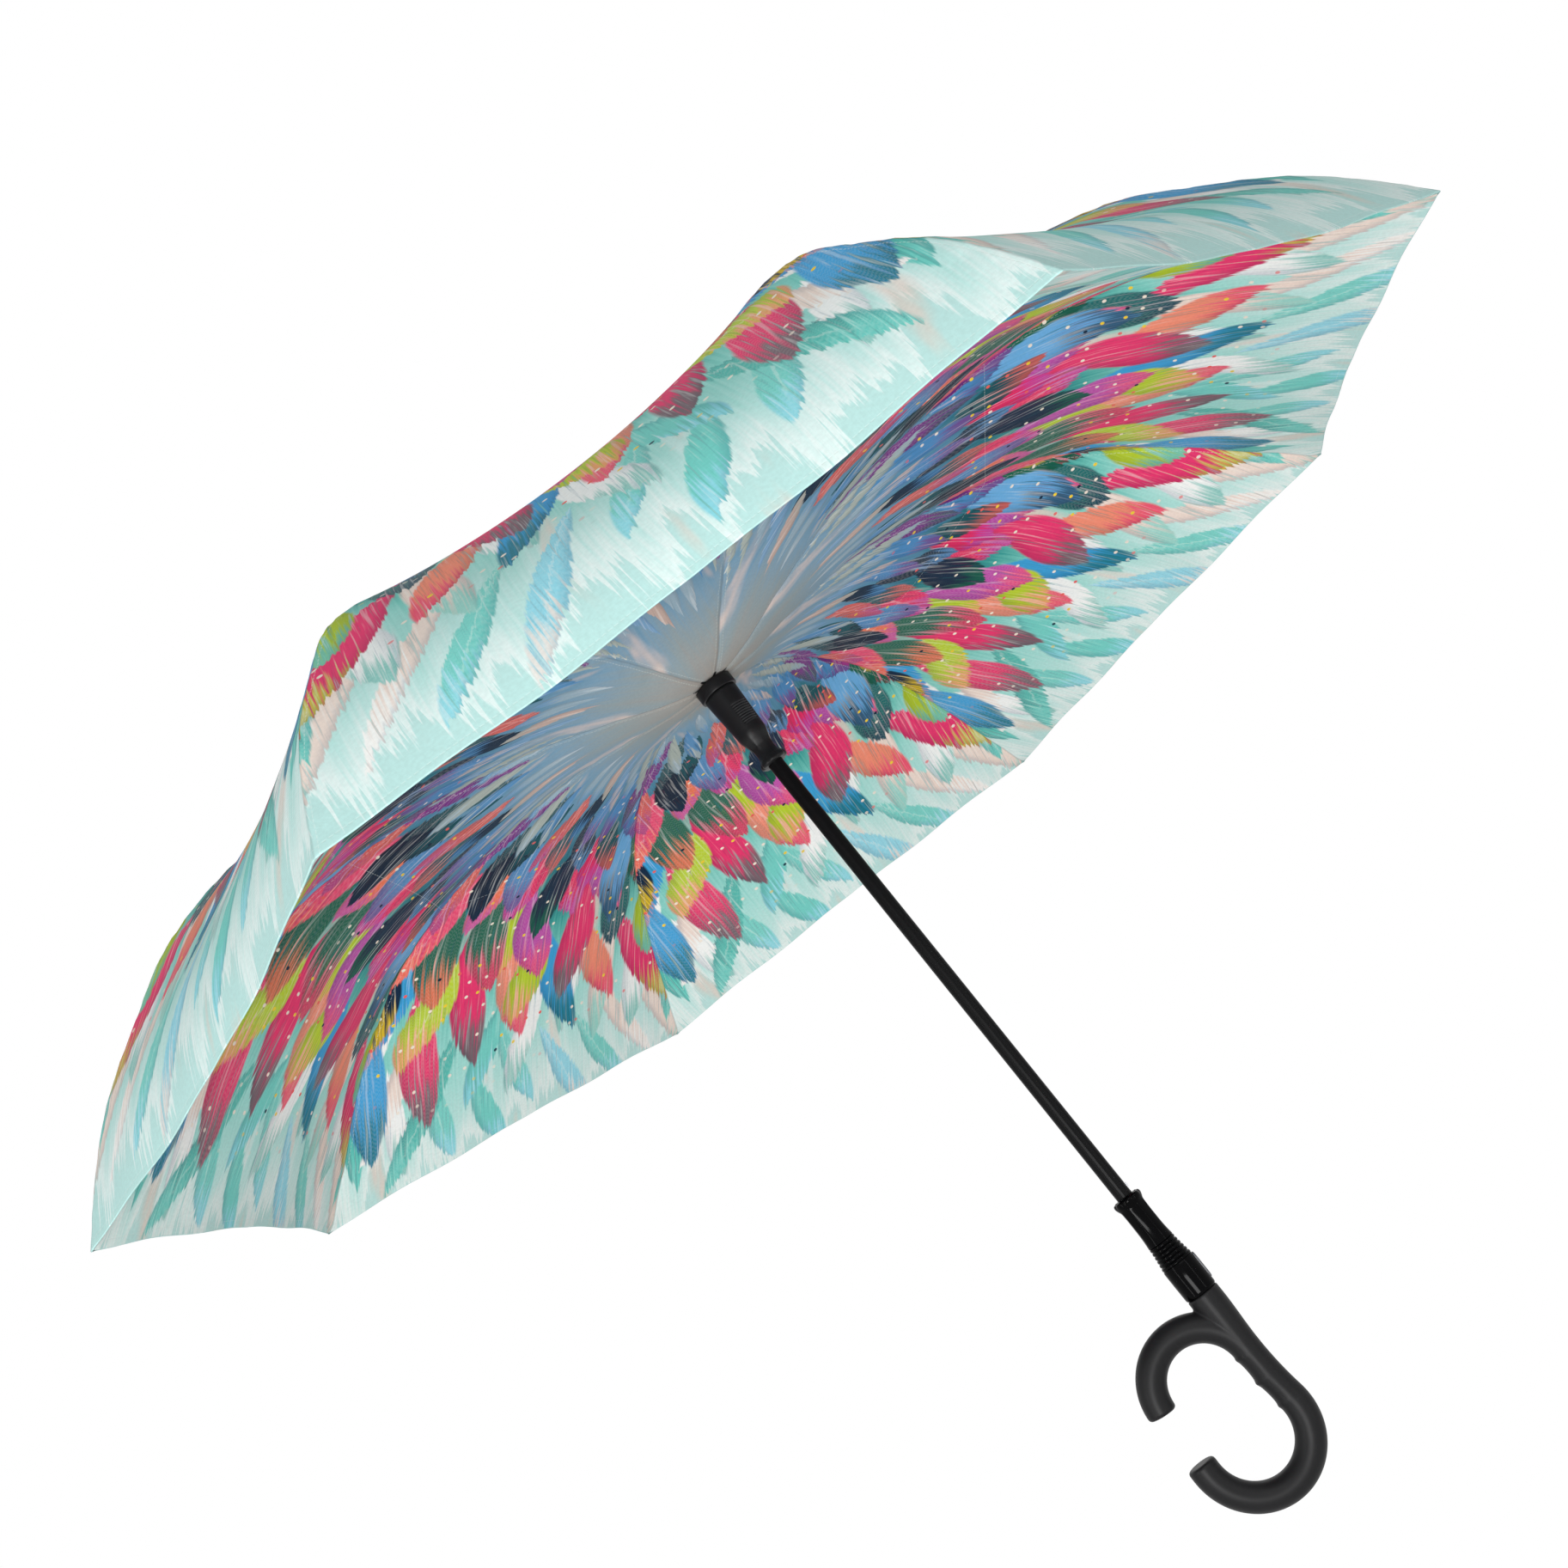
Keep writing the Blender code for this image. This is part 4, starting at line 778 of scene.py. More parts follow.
def make_print(leaf_ring):
    """The printed design: washes from grey-blue to mint, rings of leaves and small berries."""
    given, end = group("leaf print", ("Color",), Place=None, Reach=OUTER_REACH)
    wander = vector("SUBTRACT", noise(given["Place"], 7.0, 1.0, "Color"), (0.5, 0.5, 0.5))
    waved = vector("MULTIPLY_ADD", wander, (WANDER, WANDER, 0.0), given["Place"])
    brush = noise(scaled(waved, *HAIRS_PER_METRE, 1.0), 1.0, 3.0)
    frayed = node("CombineXYZ", {1: (brush - 0.5) * FRAY})[0]
    ragged = vector("ADD", waved, frayed)
    along = parts_of(waved)[1]
    wash = noise(scaled(waved, *WASHES_PER_METRE, 1.0), 1.0, 3.0)
    level = (brush - 0.5) * 0.16 + ((wash - 0.5) * 0.46 + along / given["Reach"])
    # The ground's last stop is painted shade at the hem
    colour = mixed(wash.step(0.57, 0.70, 0.0, 0.85), ramp(level, GROUND), tint("EBD3C6"))
    for count, centre, half, width, tilt, seed, palette in RINGS:
        ring = use(leaf_ring, Place=ragged, Count=count, Centre=centre, Half_Length=half,
                   Width=width, Tilt=tilt, Seed=seed)
        cover = ring["Mask"] * brush.step(0.28, 0.40, 0.45, 1.0)
        colour = mixed(cover, colour, painted_leaf(ring, palette, brush))
    dots = node("TexVoronoi", {"Vector": waved, "Scale": BERRIES_PER_METRE},
                voronoi_dimensions="2D")
    pick, sparse, _ = parts_of(dots["Color"])
    band = along.step(0.18, 0.24) * along.step(0.52, 0.46)
    share = dots["Distance"].step(0.09, 0.13, 1.0, 0.0) * band * sparse.step(0.66, 0.68)
    return finished(end, mixed(share, colour, ramp(pick, BERRIES, "CONSTANT")))


def cloth_finish(name, groups, reach, dim, thread):
    """Printed pongee: leaf print, fine weave, stitched seams and hem; painted shade at seams."""
    made, shader = new_finish(name)
    tree = shader.id_data
    place = node("UVMap", tree=tree, uv_map="cloth")[0]
    across, along, _ = parts_of(place)
    from_seam = attribute(tree, "from_seam")
    weave = use(groups["weave"], Place=place, Threads=THREADS_PER_METRE)
    seam = use(groups["stitches"], From_Edge=from_seam, Along=along)
    hem = use(groups["stitches"], From_Edge=attribute(tree, "from_rim"), Along=across,
              Row=HEM_WIDTH)
    stitched = maths("MAXIMUM", seam["Mask"], hem["Mask"])
    colour = use(groups["print"], Place=place, Reach=reach)["Color"]
    # Painted shade: the colour darkens to blue-grey within about a millimetre of each seam
    colour = mixed(from_seam.step(0.0002, 0.0012, 0.22, 0.0), colour, tint("2A3A40"))
    shade = weave["Fibres"].step(0.3, 0.7, 0.93, 1.0)
    grey = node("CombineColor", {0: shade, 1: shade, 2: shade})[0]
    # Multiplies in the fibres' random tone, then the layer's dim tint of painted shade
    for tone in (grey, dim):
        colour = mixed(1.0, colour, tone, "MULTIPLY")
    height = stitched * 2.5 + weave["Height"]
    bump = node("Bump", {"Height": height, "Strength": 0.5, "Distance": 0.00008})[0]
    feed(shader, {"Base Color": mixed(stitched * 0.3, colour, tuple(thread)), "Normal": bump,
                  "Roughness": weave["Fibres"].step(0.3, 0.7, 0.70, 0.82), "Sheen Weight": 0.03,
                  "Sheen Roughness": 0.5, "Specular IOR Level": 0.10})
    return made


class UMBRELLA_OT_finishes(bpy.types.Operator):
    """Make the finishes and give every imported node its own"""
    bl_idname = "umbrella.finishes"
    bl_label = "Make Finishes"

    def execute(self, context):
        colours = context.scene.umbrella_mouldings
        thread = context.scene.umbrella_canopy.thread
        grain = make_grain()
        for slot, (name, code, *amounts) in MOULDED.items():
            colour = getattr(colours, code) if hasattr(colours, code) else tint(code)
            FINISHES[slot] = moulded(grain, name, colour, *amounts)
        groups = {"print": make_print(make_leaf_ring()), "weave": make_weave(),
                  "stitches": make_stitches()}
        FINISHES["outer_canopy_cloth"] = cloth_finish(
            "printed outer cloth", groups, OUTER_REACH, OUTER_PAINTED_SHADE, thread)
        FINISHES["inner_canopy_cloth"] = cloth_finish(
            "printed inner cloth", groups, INNER_REACH, INNER_PAINTED_SHADE, thread)
        slots = {part["node"]: part["material_slot"] for part in frame["record"]["subparts"]}
        for name, made in frame["nodes"].items():
            made.data.materials.clear()
            made.data.materials.append(FINISHES[slots[name]])
        return {"FINISHED"}


# ---------------------------------------------------------------- pieces

def with_hem(rows):
    """Rows turned under at the rim by a small round fold that ends on the inner layer's rim."""
    bend = np.radians(np.linspace(0.0, 180.0, 6)[1:])
    radius, height = rows[-1, 1], rows[-1, 2]
    middle = np.array([radius - INNER_RIM_INSET / 2, height - INNER_RIM_DROP / 2])
    fold = math.hypot(INNER_RIM_INSET, INNER_RIM_DROP) / 2
    first = math.atan2(INNER_RIM_DROP, INNER_RIM_INSET)
    around = middle + fold * np.column_stack([np.cos(first - bend), np.sin(first - bend)])
    steps = np.full(len(around), fold * bend[0])
    extra = np.column_stack([rows[-1, 0] + np.cumsum(steps), around, np.ones(len(around))])
    return np.vstack([rows, extra])


class UMBRELLA_OT_outer_canopy(bpy.types.Operator):
    """Make the outer layer of cloth: crown, shoulder and skirt round each rib"""
    bl_idname = "umbrella.outer_canopy"
    bl_label = "Make Outer Canopy"

    def execute(self, context):
        cloth = context.scene.umbrella_canopy
        line = rib_line(OUTER_SHARES, CLAMP_RADIUS, RIM_RADIUS, RIM_HEIGHT,
                        CROWN_CLOTH_HEIGHT - RIM_HEIGHT, CROWN_HOLE_RADIUS)
        shape = dict(columns=cloth.columns, sag=cloth.outer_sag, scallop=cloth.scallop,
                     pucker=cloth.pucker, side=1.0, flip=False)
        crown = stretch_of(line, CROWN_HOLE_RADIUS, RIVET_RADIUS, cloth.row_length)
        shoulder = stretch_of(line, RIVET_RADIUS, FLEX_RADIUS, cloth.row_length)
        skirt = stretch_of(line, FLEX_RADIUS, RIM_RADIUS, cloth.row_length)
        lay_cloth("outer_canopy", (
            ("crown_cloth", "stretcher", crown, cloth.crown_keep),
            ("shoulder_cloth", "rib", shoulder, cloth.crown_keep),
            ("skirt_cloth", "outer_rib", with_hem(skirt), cloth.skirt_keep)), shape)
        return {"FINISHED"}


class UMBRELLA_OT_inner_canopy(bpy.types.Operator):
    """Make the inner layer of cloth: its root at the runner and its skirt"""
    bl_idname = "umbrella.inner_canopy"
    bl_label = "Make Inner Canopy"

    def execute(self, context):
        cloth = context.scene.umbrella_canopy
        rim = RIM_RADIUS - INNER_RIM_INSET
        line = rib_line(INNER_SHARES, CLAMP_RADIUS, rim, RUNNER_CLOTH_HEIGHT, INNER_FALL,
                        RUNNER_HOLE_RADIUS)
        shape = dict(columns=cloth.columns, sag=cloth.inner_sag, scallop=cloth.scallop,
                     pucker=cloth.pucker, side=-1.0, flip=True, pocket=POCKET_DEPTH)
        root = stretch_of(line, RUNNER_HOLE_RADIUS, FLEX_RADIUS, cloth.row_length)
        skirt = stretch_of(line, FLEX_RADIUS, rim, cloth.row_length)
        flap = stretch_of(line, FLEX_RADIUS - cloth.flap, FLEX_RADIUS, cloth.row_length)[:-1]
        hidden = np.clip((FLEX_RADIUS - flap[:, 1]) / 0.004, 0.0, 1.0)
        flap[:, 2] += FLAP_LIFT * hidden
        lay_cloth("inner_canopy", (
            ("lining_root", "rib", root, cloth.root_keep),
            ("lining_skirt", "outer_rib", np.vstack([flap, skirt]), cloth.lining_keep)), shape)
        return {"FINISHED"}


def tube(name, path, radius_share, radius, groove_depth=0.0, crest=0.0):
    """A round tube along a path in the XZ plane.

    The point at angle a is the path point plus the radius times the cosine of a along the path's
    right-hand side and the sine of a along Y. Rows are thinned by a radius share. On the side
    towards -X the finger grooves take away parabolic arcs, and a low crest exp(-(d / width)^2)
    stands between two of them, at the distance d from their border.
    """
    step = np.gradient(path, axis=0)
    step /= np.linalg.norm(step, axis=1)[:, None]
    side = np.column_stack([-step[:, 1], step[:, 0]])
    angle = circle(72)
    place = (GROOVE_TOP - path[:, 1]) / GROOVE_PITCH
    dip = 1 - (2 * (place - np.floor(place)) - 1) ** 2
    on_grip = (place > 0) & (place < GROOVE_COUNT) & (path[:, 0] > -0.0005)
    inner_side = np.clip(-np.cos(angle)[None, :] * np.sign(side[:, :1]), 0.0, None) ** 1.5
    beside = GROOVE_PITCH * np.abs(place - np.round(place)) / CREST_WIDTH
    near = (place > 0.6) & (place < GROOVE_COUNT + 0.4) & (path[:, 0] > -0.0005)
    bump = np.exp(-beside**2) * near
    groove = (groove_depth * dip * on_grip - crest * bump)[:, None] * inner_side
    reach = radius * radius_share[:, None] - groove
    x = path[:, :1] + reach * np.cos(angle) * side[:, :1]
    z = path[:, 1:] + reach * np.cos(angle) * side[:, 1:]
    points = np.stack([x, reach * np.sin(angle), z], axis=-1)
    return closed(surface(name, points, wrap=True))


def rounded(path, sizes, start):
    """The path with its far end rounded, and its near end closed or bored for the shaft.

    A quarter circle rounds the far rim, and a smooth step widens the straight stem upwards.
    """
    radius, round_size = sizes.tube_radius, sizes.end_rounding
    bend = np.radians(np.linspace(0.0, 90.0, 9)[1:])
    along = (path[-1] - path[-2]) / np.linalg.norm(path[-1] - path[-2])
    ends = path[-1] + np.outer(round_size * np.sin(bend), along)
    share_end = 1 - round_size / radius * (1 - np.cos(bend))
    flat = np.linspace(share_end[-1], 0.0, 7)[1:]
    ends = np.vstack([ends, ends[-1] + np.outer(np.arange(1, 7), along) * 1e-6])
    rows = np.vstack([path, ends])
    flare = np.clip((path[:, 1] - FLARE_START) / FLARE_LENGTH, 0.0, 1.0)
    flare = flare * (np.abs(path[:, 0]) < 0.0001)
    widened = 1 + sizes.stem_flare / radius * flare**2 * (3 - 2 * flare)
    share = np.concatenate([widened, share_end, flat])
    if start:
        bevel = 0.0006
        bore = SHAFT_BORE / radius
        depth = np.array([SHAFT_DEPTH + 0.00001, SHAFT_DEPTH, 0.0001, 0.0])
        rows = np.vstack([np.column_stack([np.zeros(4), HANDLE_TOP - depth]), rows[1:]])
        share = np.concatenate([[0.0, bore, bore, share[0] - bevel / radius], share[1:]])
    else:
        rows = np.vstack([rows[:1] - [[0.0, 0.000001]], rows])
        share = np.concatenate([[0.0], share])
    return rows, share


class UMBRELLA_OT_handle(bpy.types.Operator):
    """Make the C-shaped hook handle as one soft moulding"""
    bl_idname = "umbrella.handle"
    bl_label = "Make Handle"

    def execute(self, context):
        sizes = context.scene.umbrella_mouldings
        radius, hook, low_hook = sizes.tube_radius, sizes.hook_radius, sizes.lower_hook_radius
        upper = np.linspace(0.0, math.pi - sizes.end_rounding / hook, 90)
        arc = np.column_stack([hook * np.cos(upper) - hook,
                               UPPER_HOOK_HEIGHT + hook * np.sin(upper)])
        lead = UPPER_HOOK_HEIGHT - np.array([0.0015, 0.0010, 0.0005])
        upper_path = np.vstack([np.column_stack([np.zeros(3), lead]), arc])
        start = -LOWER_HOOK_DEPTH + low_hook * math.sin(GRIP_LEAN)
        length = UPPER_HOOK_HEIGHT - start
        swing = length * math.tan(GRIP_LEAN) / 2
        level = np.linspace(HANDLE_TOP, start, 161)[:-1]
        share = np.clip((UPPER_HOOK_HEIGHT - level) / length, 0.0, 1.0)
        grip = np.column_stack([swing * share**2, level])
        lower = np.linspace(GRIP_LEAN, -math.pi, 100)
        centre = swing - low_hook * math.cos(GRIP_LEAN)
        arc = np.column_stack([centre + low_hook * np.cos(lower),
                               low_hook * np.sin(lower) - LOWER_HOOK_DEPTH])
        climb = (LOWER_END_RISE - sizes.end_rounding) * np.array([0.33, 0.67, 1.0])
        rise = np.column_stack([np.full(3, centre - low_hook), climb - LOWER_HOOK_DEPTH])
        lower_path = np.vstack([grip, arc, rise])
        top = rounded(upper_path, sizes, start=False)
        main = rounded(lower_path, sizes, start=True)
        made = bmesh.new()
        grip_tube = tube("grip", *main, radius, sizes.groove_depth, sizes.crest)
        for mesh in (tube("hook", *top, radius), grip_tube):
            made.from_mesh(mesh)
        joined = bpy.data.meshes.new("handle_form")
        made.to_mesh(joined)
        made.free()
        body = add_object("handle_form", joined)
        with_settings(body.modifiers.new("Cells", "REMESH"), mode="VOXEL", voxel_size=sizes.cell,
                      use_smooth_shade=True)
        with_settings(body.modifiers.new("Calm", "SMOOTH"), factor=0.5, iterations=2)
        final = baked(body)
        final.name = "hook_handle"
        final.shade_smooth()
        piece("hook_handle", final, "shaft_assembly", "soft_touch_grip", "handle")
        return {"FINISHED"}


def collar_rows():
    """Rows from the top face down: flared flange, waisted neck, six rings, barrel, bore.

    The rings stand between grooves |cos pi p|^6 deep, with p one more at each ring, on a cone.
    """
    count, top, fall, thin, wide, depth = 6, 0.1023, 0.0160, 0.0092, 0.0112, 0.0006
    flange = curved([(0.0084, 0.1366), (0.0096, 0.1361), (0.0101, 0.1349), (0.0100, 0.1335),
                     (0.0095, 0.1319), (0.0088, 0.1303), (0.0085, 0.1285)], 26)
    neck = curved([(0.0085, 0.1285), (0.0084, 0.1250), (0.0084, 0.1180), (0.0085, 0.1110),
                   (0.0088, 0.1060), (0.0092, 0.1023)], 24)[1:]
    place = np.linspace(0.0, count, 97)
    swell = thin + (wide - thin) * (place / count) ** 1.3
    rings = np.column_stack([swell - depth * np.abs(np.cos(math.pi * place)) ** 6,
                             top - fall * place / count])
    barrel = np.array([(0.0109, 0.0862), (0.0113, 0.0850), (0.0113, 0.0760), (0.0112, 0.0650),
                       (0.0111, 0.0640), (0.0106, 0.0633)])
    bore = np.array([(SHAFT_BORE, 0.0633), (SHAFT_BORE, 0.1370), (0.0078, 0.1370)])
    rows = np.vstack([flange, neck, rings, barrel, bore, flange[:1]])
    facets = np.concatenate([
        np.linspace(0.15, 0.8, len(flange)), np.linspace(0.85, 0.0, len(neck)),
        np.zeros(len(rings) + len(barrel) + 3), [0.15]])
    lobes = np.zeros(len(rows))
    lobes[:len(flange)] = np.linspace(0.10, 0.0, len(flange))
    lobes[-1] = lobes[0]
    return rows, facets, lobes


def slab(name, grow, low, high, rounding):
    """A slot-shaped slab towards +X: half circles joined by straight sides, its rim rounded.

    Rows climb the side, follow a quarter circle at the rim and close on the long middle line.
    """
    width, height, level = 0.0080, 0.0190, 0.0765
    bend = np.radians(np.linspace(0.0, 90.0, 7))
    depth = [low, *(high - rounding + rounding * np.sin(bend))]
    inset = [0.0, *(rounding * (1 - np.cos(bend)))]
    limit = width / 2 + grow
    for share in np.linspace(0.0, 1.0, 5)[1:]:
        depth.append(high + 0.0002 * share * (rounding > 0))
        inset.append(inset[7] + (limit - inset[7]) * share)
    depth, inset = np.array([low, *depth]), np.array([limit, *inset])
    angle = circle(64)
    straight = (height - width) / 2 * (grow > -0.001)
    shrink = np.clip(limit - inset, 0.0, None)[:, None]
    y = shrink * np.cos(angle)
    z = level + shrink * np.sin(angle) + np.sign(np.sin(angle)) * straight
    points = np.stack([np.broadcast_to(depth[:, None], y.shape), y, z], axis=-1)
    return closed(surface(name, points, wrap=True), distance=0.00001)


class UMBRELLA_OT_collar(bpy.types.Operator):
    """Make the polished collar over the handle, and its push button"""
    bl_idname = "umbrella.collar"
    bl_label = "Make Collar"

    def execute(self, context):
        profile, facets, lobes = collar_rows()
        mesh = turned("polished_collar", profile, 160, facets, lobes, sharp=50.0)
        pocket = slab("pocket", grow=0.0003, low=0.0070, high=0.0140, rounding=0.0)
        stem = slab("stem_hole", grow=-0.0026, low=0.0020, high=0.0100, rounding=0.0)
        piece("polished_collar", carve(mesh, [pocket, stem]), "shaft_assembly", "gloss_collar",
              "handle_collar")
        button = slab("silver_button", grow=0.0, low=0.0084, high=0.0119, rounding=0.0010)
        piece("silver_button", button, "push_button", "silver_button", "push_button")
        return {"FINISHED"}


def runner_rows(depth):
    """Rows from the sleeve's top down: sleeve, barrel, eight-sided neck, lobed foot, bore.

    Two opposite patches of the barrel have thumb ridges: grooves (1 + cos 2 pi p) / 2 deep,
    with p one more at each ridge, which fade out round the barrel and at both ends.
    """
    wide, thin, top, fall = 0.0125, 0.0108, 0.5617, 0.0335
    head = np.array([(0.0075, 0.5722), (0.0075, 0.5621), (0.0121, 0.5621), (wide, top)])
    level = np.linspace(0.5600, 0.5305, 145)
    barrel = np.column_stack([wide + (thin - wide) * (top - level) / fall, level])
    shoulder = curved([(0.0108, 0.5305), (0.0107, 0.5268), (0.0099, 0.5228), (0.0085, 0.5190),
                       (0.0076, 0.5155)], 18)[1:]
    neck = curved([(0.0076, 0.5155), (0.0074, 0.5115), (0.0076, 0.5090), (0.0086, 0.5062),
                   (0.0098, 0.5044), (0.0104, 0.5026), (0.0102, 0.5010), (0.0096, 0.5004)], 28)[1:]
    bore = np.array([(SHAFT_BORE, 0.5004), (SHAFT_BORE, 0.5722), (0.0075, 0.5722)])
    rows = np.vstack([head, barrel, shoulder, neck, bore])
    plain = len(head) + len(barrel)
    facets = np.concatenate([np.zeros(plain), np.linspace(0.0, 0.9, len(shoulder)),
                             np.linspace(0.9, 0.2, len(neck)), np.zeros(3)])
    lobes = np.zeros(len(rows))
    lobes[-len(neck) - 3:-3] = np.linspace(0.0, 0.10, len(neck))
    angle = circle(RUNNER_STEPS)
    turn = np.cos(2 * (angle + THUMB_TURN))
    patch = np.clip((turn - 0.25) / 0.3, 0.0, 1.0)[None, :]
    ridge = (rows[:, 1:] - RIDGE_LOW) / (RIDGE_HIGH - RIDGE_LOW) * RIDGE_COUNT
    ends = np.clip(np.minimum(ridge, RIDGE_COUNT - ridge), 0.0, 1.0)
    ends[:len(head)] = 0.0
    ends[plain:] = 0.0
    wave = (1 + np.cos(2 * math.pi * ridge)) / 2
    area = patch**2 * (3 - 2 * patch) * ends
    # The last mask marks the ridge crests that get a painted highlight
    return rows, facets, lobes, depth * wave * area, (1 - wave) * area


class UMBRELLA_OT_runner(bpy.types.Operator):
    """Make the sliding runner, the ring over it and the cap on the crown"""
    bl_idname = "umbrella.runner"
    bl_label = "Make Runner and Cap"

    def execute(self, context):
        depth = context.scene.umbrella_mouldings.ridge_depth
        rows, facets, lobes, relief, crest = runner_rows(depth)
        mesh = turned("grip_runner", rows, RUNNER_STEPS, facets, lobes, relief, crest, 50.0)
        piece("grip_runner", mesh, "runner", "black_plastic", "runner")
        ring = [(0.0078, 0.5714), (0.0135, 0.5714), (0.0139, 0.5712), (0.0141, 0.5707),
                (0.0141, 0.5633), (0.0139, 0.5627), (0.0134, 0.5624), (0.0078, 0.5624),
                (0.0078, 0.5714)]
        piece("lining_ring", turned("lining_ring", ring), "runner", "black_plastic",
              "inner_canopy_ring")
        bend = np.radians(np.linspace(90.0, 0.0, 14))
        inside, level, corner = 0.0085, 0.6831, 0.0080
        dome = np.column_stack([inside + corner * np.cos(bend), level + corner * np.sin(bend)])
        under = [(0.0165, 0.6818), (0.0163, 0.6816), (SHAFT_BORE, 0.6816), (SHAFT_BORE, 0.6896),
                 (0.0, 0.6896)]
        cap = np.vstack([[(0.0, 0.6911), (0.0083, 0.6911)], dome, under])
        piece("crown_button_cap", turned("crown_button_cap", cap), "shaft_assembly",
              "black_plastic", "crown_cap")
        return {"FINISHED"}


# ---------------------------------------------------------------- studio

def rays_that_see(tree):
    """One for camera, glossy and transmission rays, and nothing for the others."""
    path = node("LightPath", tree=tree)
    seen = maths("MAXIMUM", path["Is Camera Ray"], path["Is Glossy Ray"])
    return maths("MAXIMUM", seen, path["Is Transmission Ray"])


def make_floor(stage):
    """A wide disc just under the handle that looks white and takes a faint shadow."""
    radius = np.array([0.0, 1.0, 3.0, 9.0])[:, None]
    angle = -circle(64)
    low = CAD_BOX[0][2] - stage.floor_drop
    mesh = merged(surface("studio_floor", np.stack([
        radius * np.cos(angle), radius * np.sin(angle), np.full((4, 64), low)], axis=-1),
        wrap=True), 0.00001)
    finish, shader = new_finish("white floor")
    tree = shader.id_data
    feed(shader, {"Base Color": (0.9, 0.9, 0.9), "Roughness": 0.9, "Specular IOR Level": 0.1})
    glow = node("Emission", {"Color": (1.0, 1.0, 1.0), "Strength": 1.0}, tree)
    place = node("TexCoord", tree=tree)["Object"]
    away = node("VectorMath", {0: place}, operation="LENGTH")["Value"]
    share = rays_that_see(tree) * (1.0 - away.step(0.25, 1.1, stage.shadow, 0.0))
    blend = node("MixShader", {0: share, 1: Value(shader.outputs[0]), 2: glow[0]})
    under = node("NewGeometry", tree=tree)["Backfacing"]
    clear = node("BsdfTransparent", tree=tree)
    sides = node("MixShader", {0: under, 1: blend[0], 2: clear[0]})
    feed(tree.nodes["Material Output"], {"Surface": sides[0]})
    mesh.materials.append(finish)
    add_object("studio_floor", mesh)


def make_world(scene, stage):
    """Even light from all around, and plain white where the camera sees it."""
    world = bpy.data.worlds.new("white studio")
    scene.world = world
    world.use_nodes = True
    tree = world.node_tree
    tree.nodes.clear()
    light, white = (node("Background", {"Color": (1.0, 1.0, 1.0), "Strength": strength}, tree)
                    for strength in (stage.ambient, 1.0))
    blend = node("MixShader", {0: rays_that_see(tree), 1: light[0], 2: white[0]})
    node("OutputWorld", {"Surface": blend[0]})


def make_lamp(name, place, target, width, height, power):
    """A rectangular lamp that faces a point, upright."""
    light = with_settings(bpy.data.lights.new(name, "AREA"), shape="RECTANGLE", size=width,
                          size_y=height, energy=power)
    made = add_object(name, light)
    turn = (Vector(target) - Vector(place)).to_track_quat("-Z", "Y").to_matrix().to_4x4()
    made.matrix_world = Matrix.Translation(place) @ turn
    made.visible_camera = False


class UMBRELLA_OT_stage(bpy.types.Operator):
    """Make the white studio, its lamps and the camera"""
    bl_idname = "umbrella.stage"
    bl_label = "Make Studio"

    def execute(self, context):
        stage = context.scene.umbrella_stage
        scene = context.scene
        scene.view_settings.view_transform = "Standard"
        make_floor(stage)
        make_world(scene, stage)
        key, strip = stage.key_power, stage.strip_power
        for name, place, target, width, height, power in (
                ("key_lamp", (0.7, -2.2, 1.5), (0.0, 0.0, 0.40), 1.5, 1.5, key),
                ("fill_lamp", (-0.6, -2.2, -0.25), (0.0, 0.15, 0.55), 0.8, 0.6, stage.fill_power),
                ("back_lamp", (0.4, 2.2, 2.4), (0.0, 0.0, 0.5), 2.2, 2.2, key * 1.2),
                ("left_strip", (-1.5, -1.1, 0.35), (0.0, 0.0, 0.35), 0.06, 1.8, strip),
                ("right_strip", (1.2, -1.3, 0.35), (0.0, 0.0, 0.35), 0.03, 1.8, strip / 2)):
            make_lamp(name, place, target, width, height, power)
        camera = with_settings(
            bpy.data.cameras.new("photo_camera"), lens=stage.lens, sensor_fit="HORIZONTAL",
            sensor_width=36.0, clip_start=0.01, shift_x=CAMERA_SHIFT[0], shift_y=CAMERA_SHIFT[1])
        scene.camera = add_object("photo_camera", camera)
        scene.camera.matrix_world = Matrix.Translation(CAMERA_PLACE) @ CAMERA_TURN.to_4x4()
        return {"FINISHED"}


def turn_about(axis):
    """The rotation matrix of a turn about an axis, by as many radians as the axis is long."""
    return Matrix.Rotation(Vector(axis).length, 3, Vector(axis))


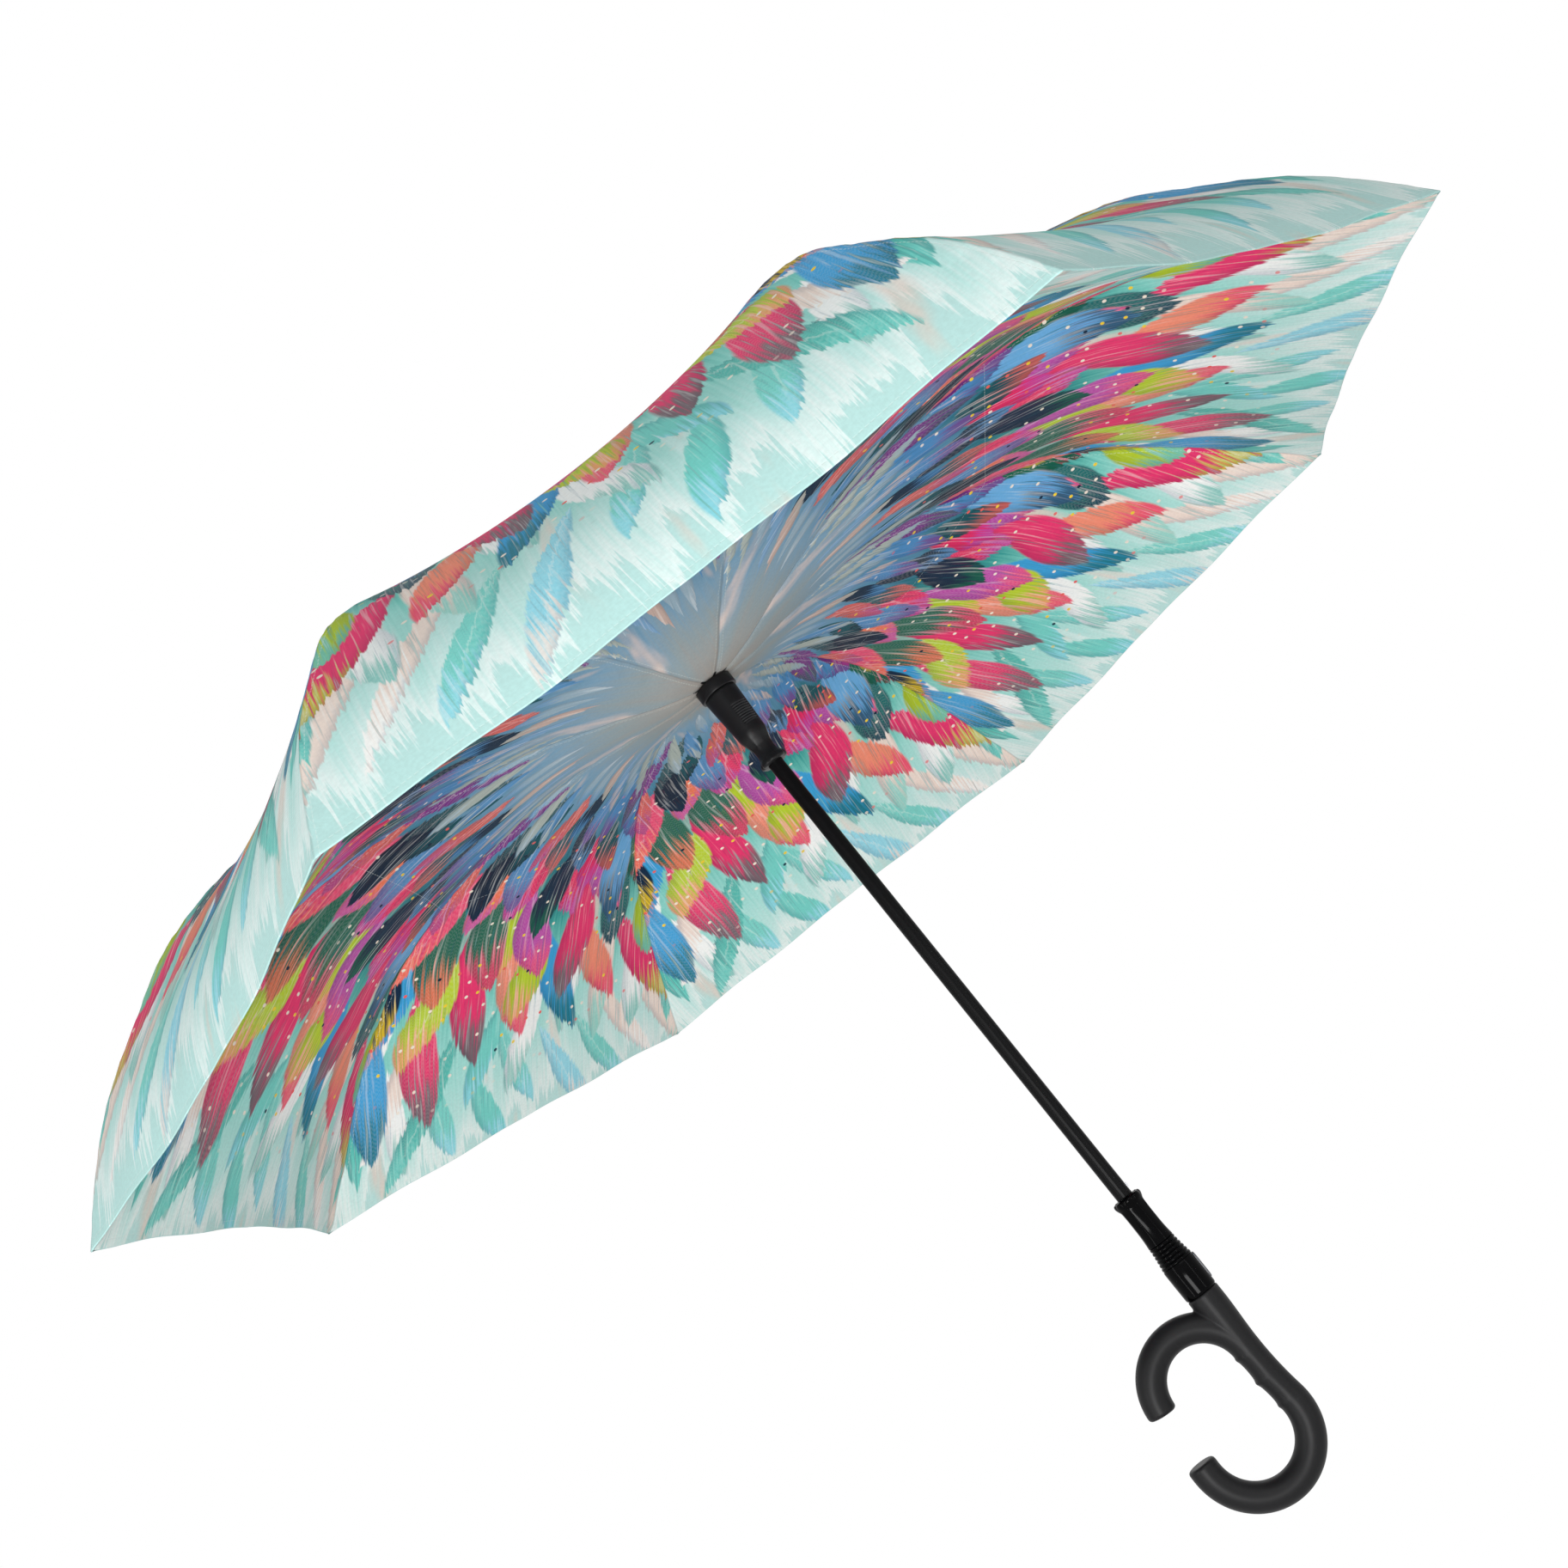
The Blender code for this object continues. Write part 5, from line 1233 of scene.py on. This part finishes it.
VIEW_TURN = turn_about((1.29177, -0.44564, -0.56247))
VIEW_OFFSET = Vector((0.05753, -0.03114, 1.29848))
CAMERA_SHIFT = (0.045254, 0.034097)
CAMERA_PLACE = Vector((0.0, 0.0, RIM_HEIGHT)) - VIEW_TURN.transposed() @ VIEW_OFFSET
CAMERA_TURN = VIEW_TURN.transposed() @ Matrix(((1, 0, 0), (0, -1, 0), (0, 0, -1)))


# ---------------------------------------------------------------- add-on

class UMBRELLA_PT_panel(bpy.types.Panel):
    """Lists the umbrella's pieces"""
    bl_idname = "UMBRELLA_PT_panel"
    bl_label = "Umbrella"
    bl_space_type = "VIEW_3D"
    bl_region_type = "UI"
    bl_category = "Umbrella"

    def draw(self, context):
        for settings, operators in (
                (context.scene.umbrella_canopy, ("umbrella.outer_canopy", "umbrella.inner_canopy")),
                (context.scene.umbrella_mouldings,
                 ("umbrella.finishes", "umbrella.handle", "umbrella.collar", "umbrella.runner")),
                (context.scene.umbrella_stage, ("umbrella.stage",))):
            box = self.layout.box()
            for name in settings.__annotations__:
                box.prop(settings, name)
            for operator in operators:
                box.operator(operator)


SETTINGS = {
    "umbrella_canopy": UmbrellaCanopySettings, "umbrella_mouldings": UmbrellaMouldingSettings,
    "umbrella_stage": UmbrellaStageSettings}
CLASSES = (
    *SETTINGS.values(), UMBRELLA_OT_finishes, UMBRELLA_OT_outer_canopy, UMBRELLA_OT_inner_canopy,
    UMBRELLA_OT_handle, UMBRELLA_OT_collar, UMBRELLA_OT_runner, UMBRELLA_OT_stage,
    UMBRELLA_PT_panel)


def register():
    """Registers the classes and adds the settings to the scene."""
    for item in CLASSES:
        bpy.utils.register_class(item)
    for name, settings in SETTINGS.items():
        setattr(bpy.types.Scene, name, PointerProperty(type=settings))


def unregister():
    """Removes the settings and the classes."""
    for name in SETTINGS:
        delattr(bpy.types.Scene, name)
    for item in reversed(CLASSES):
        bpy.utils.unregister_class(item)


def main():
    """Makes every piece and the studio."""
    register()
    bpy.ops.umbrella.finishes()
    bpy.ops.umbrella.outer_canopy()
    bpy.ops.umbrella.inner_canopy()
    bpy.ops.umbrella.handle()
    bpy.ops.umbrella.collar()
    bpy.ops.umbrella.runner()
    bpy.ops.umbrella.stage()
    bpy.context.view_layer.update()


if __name__ == "__main__":
    main()
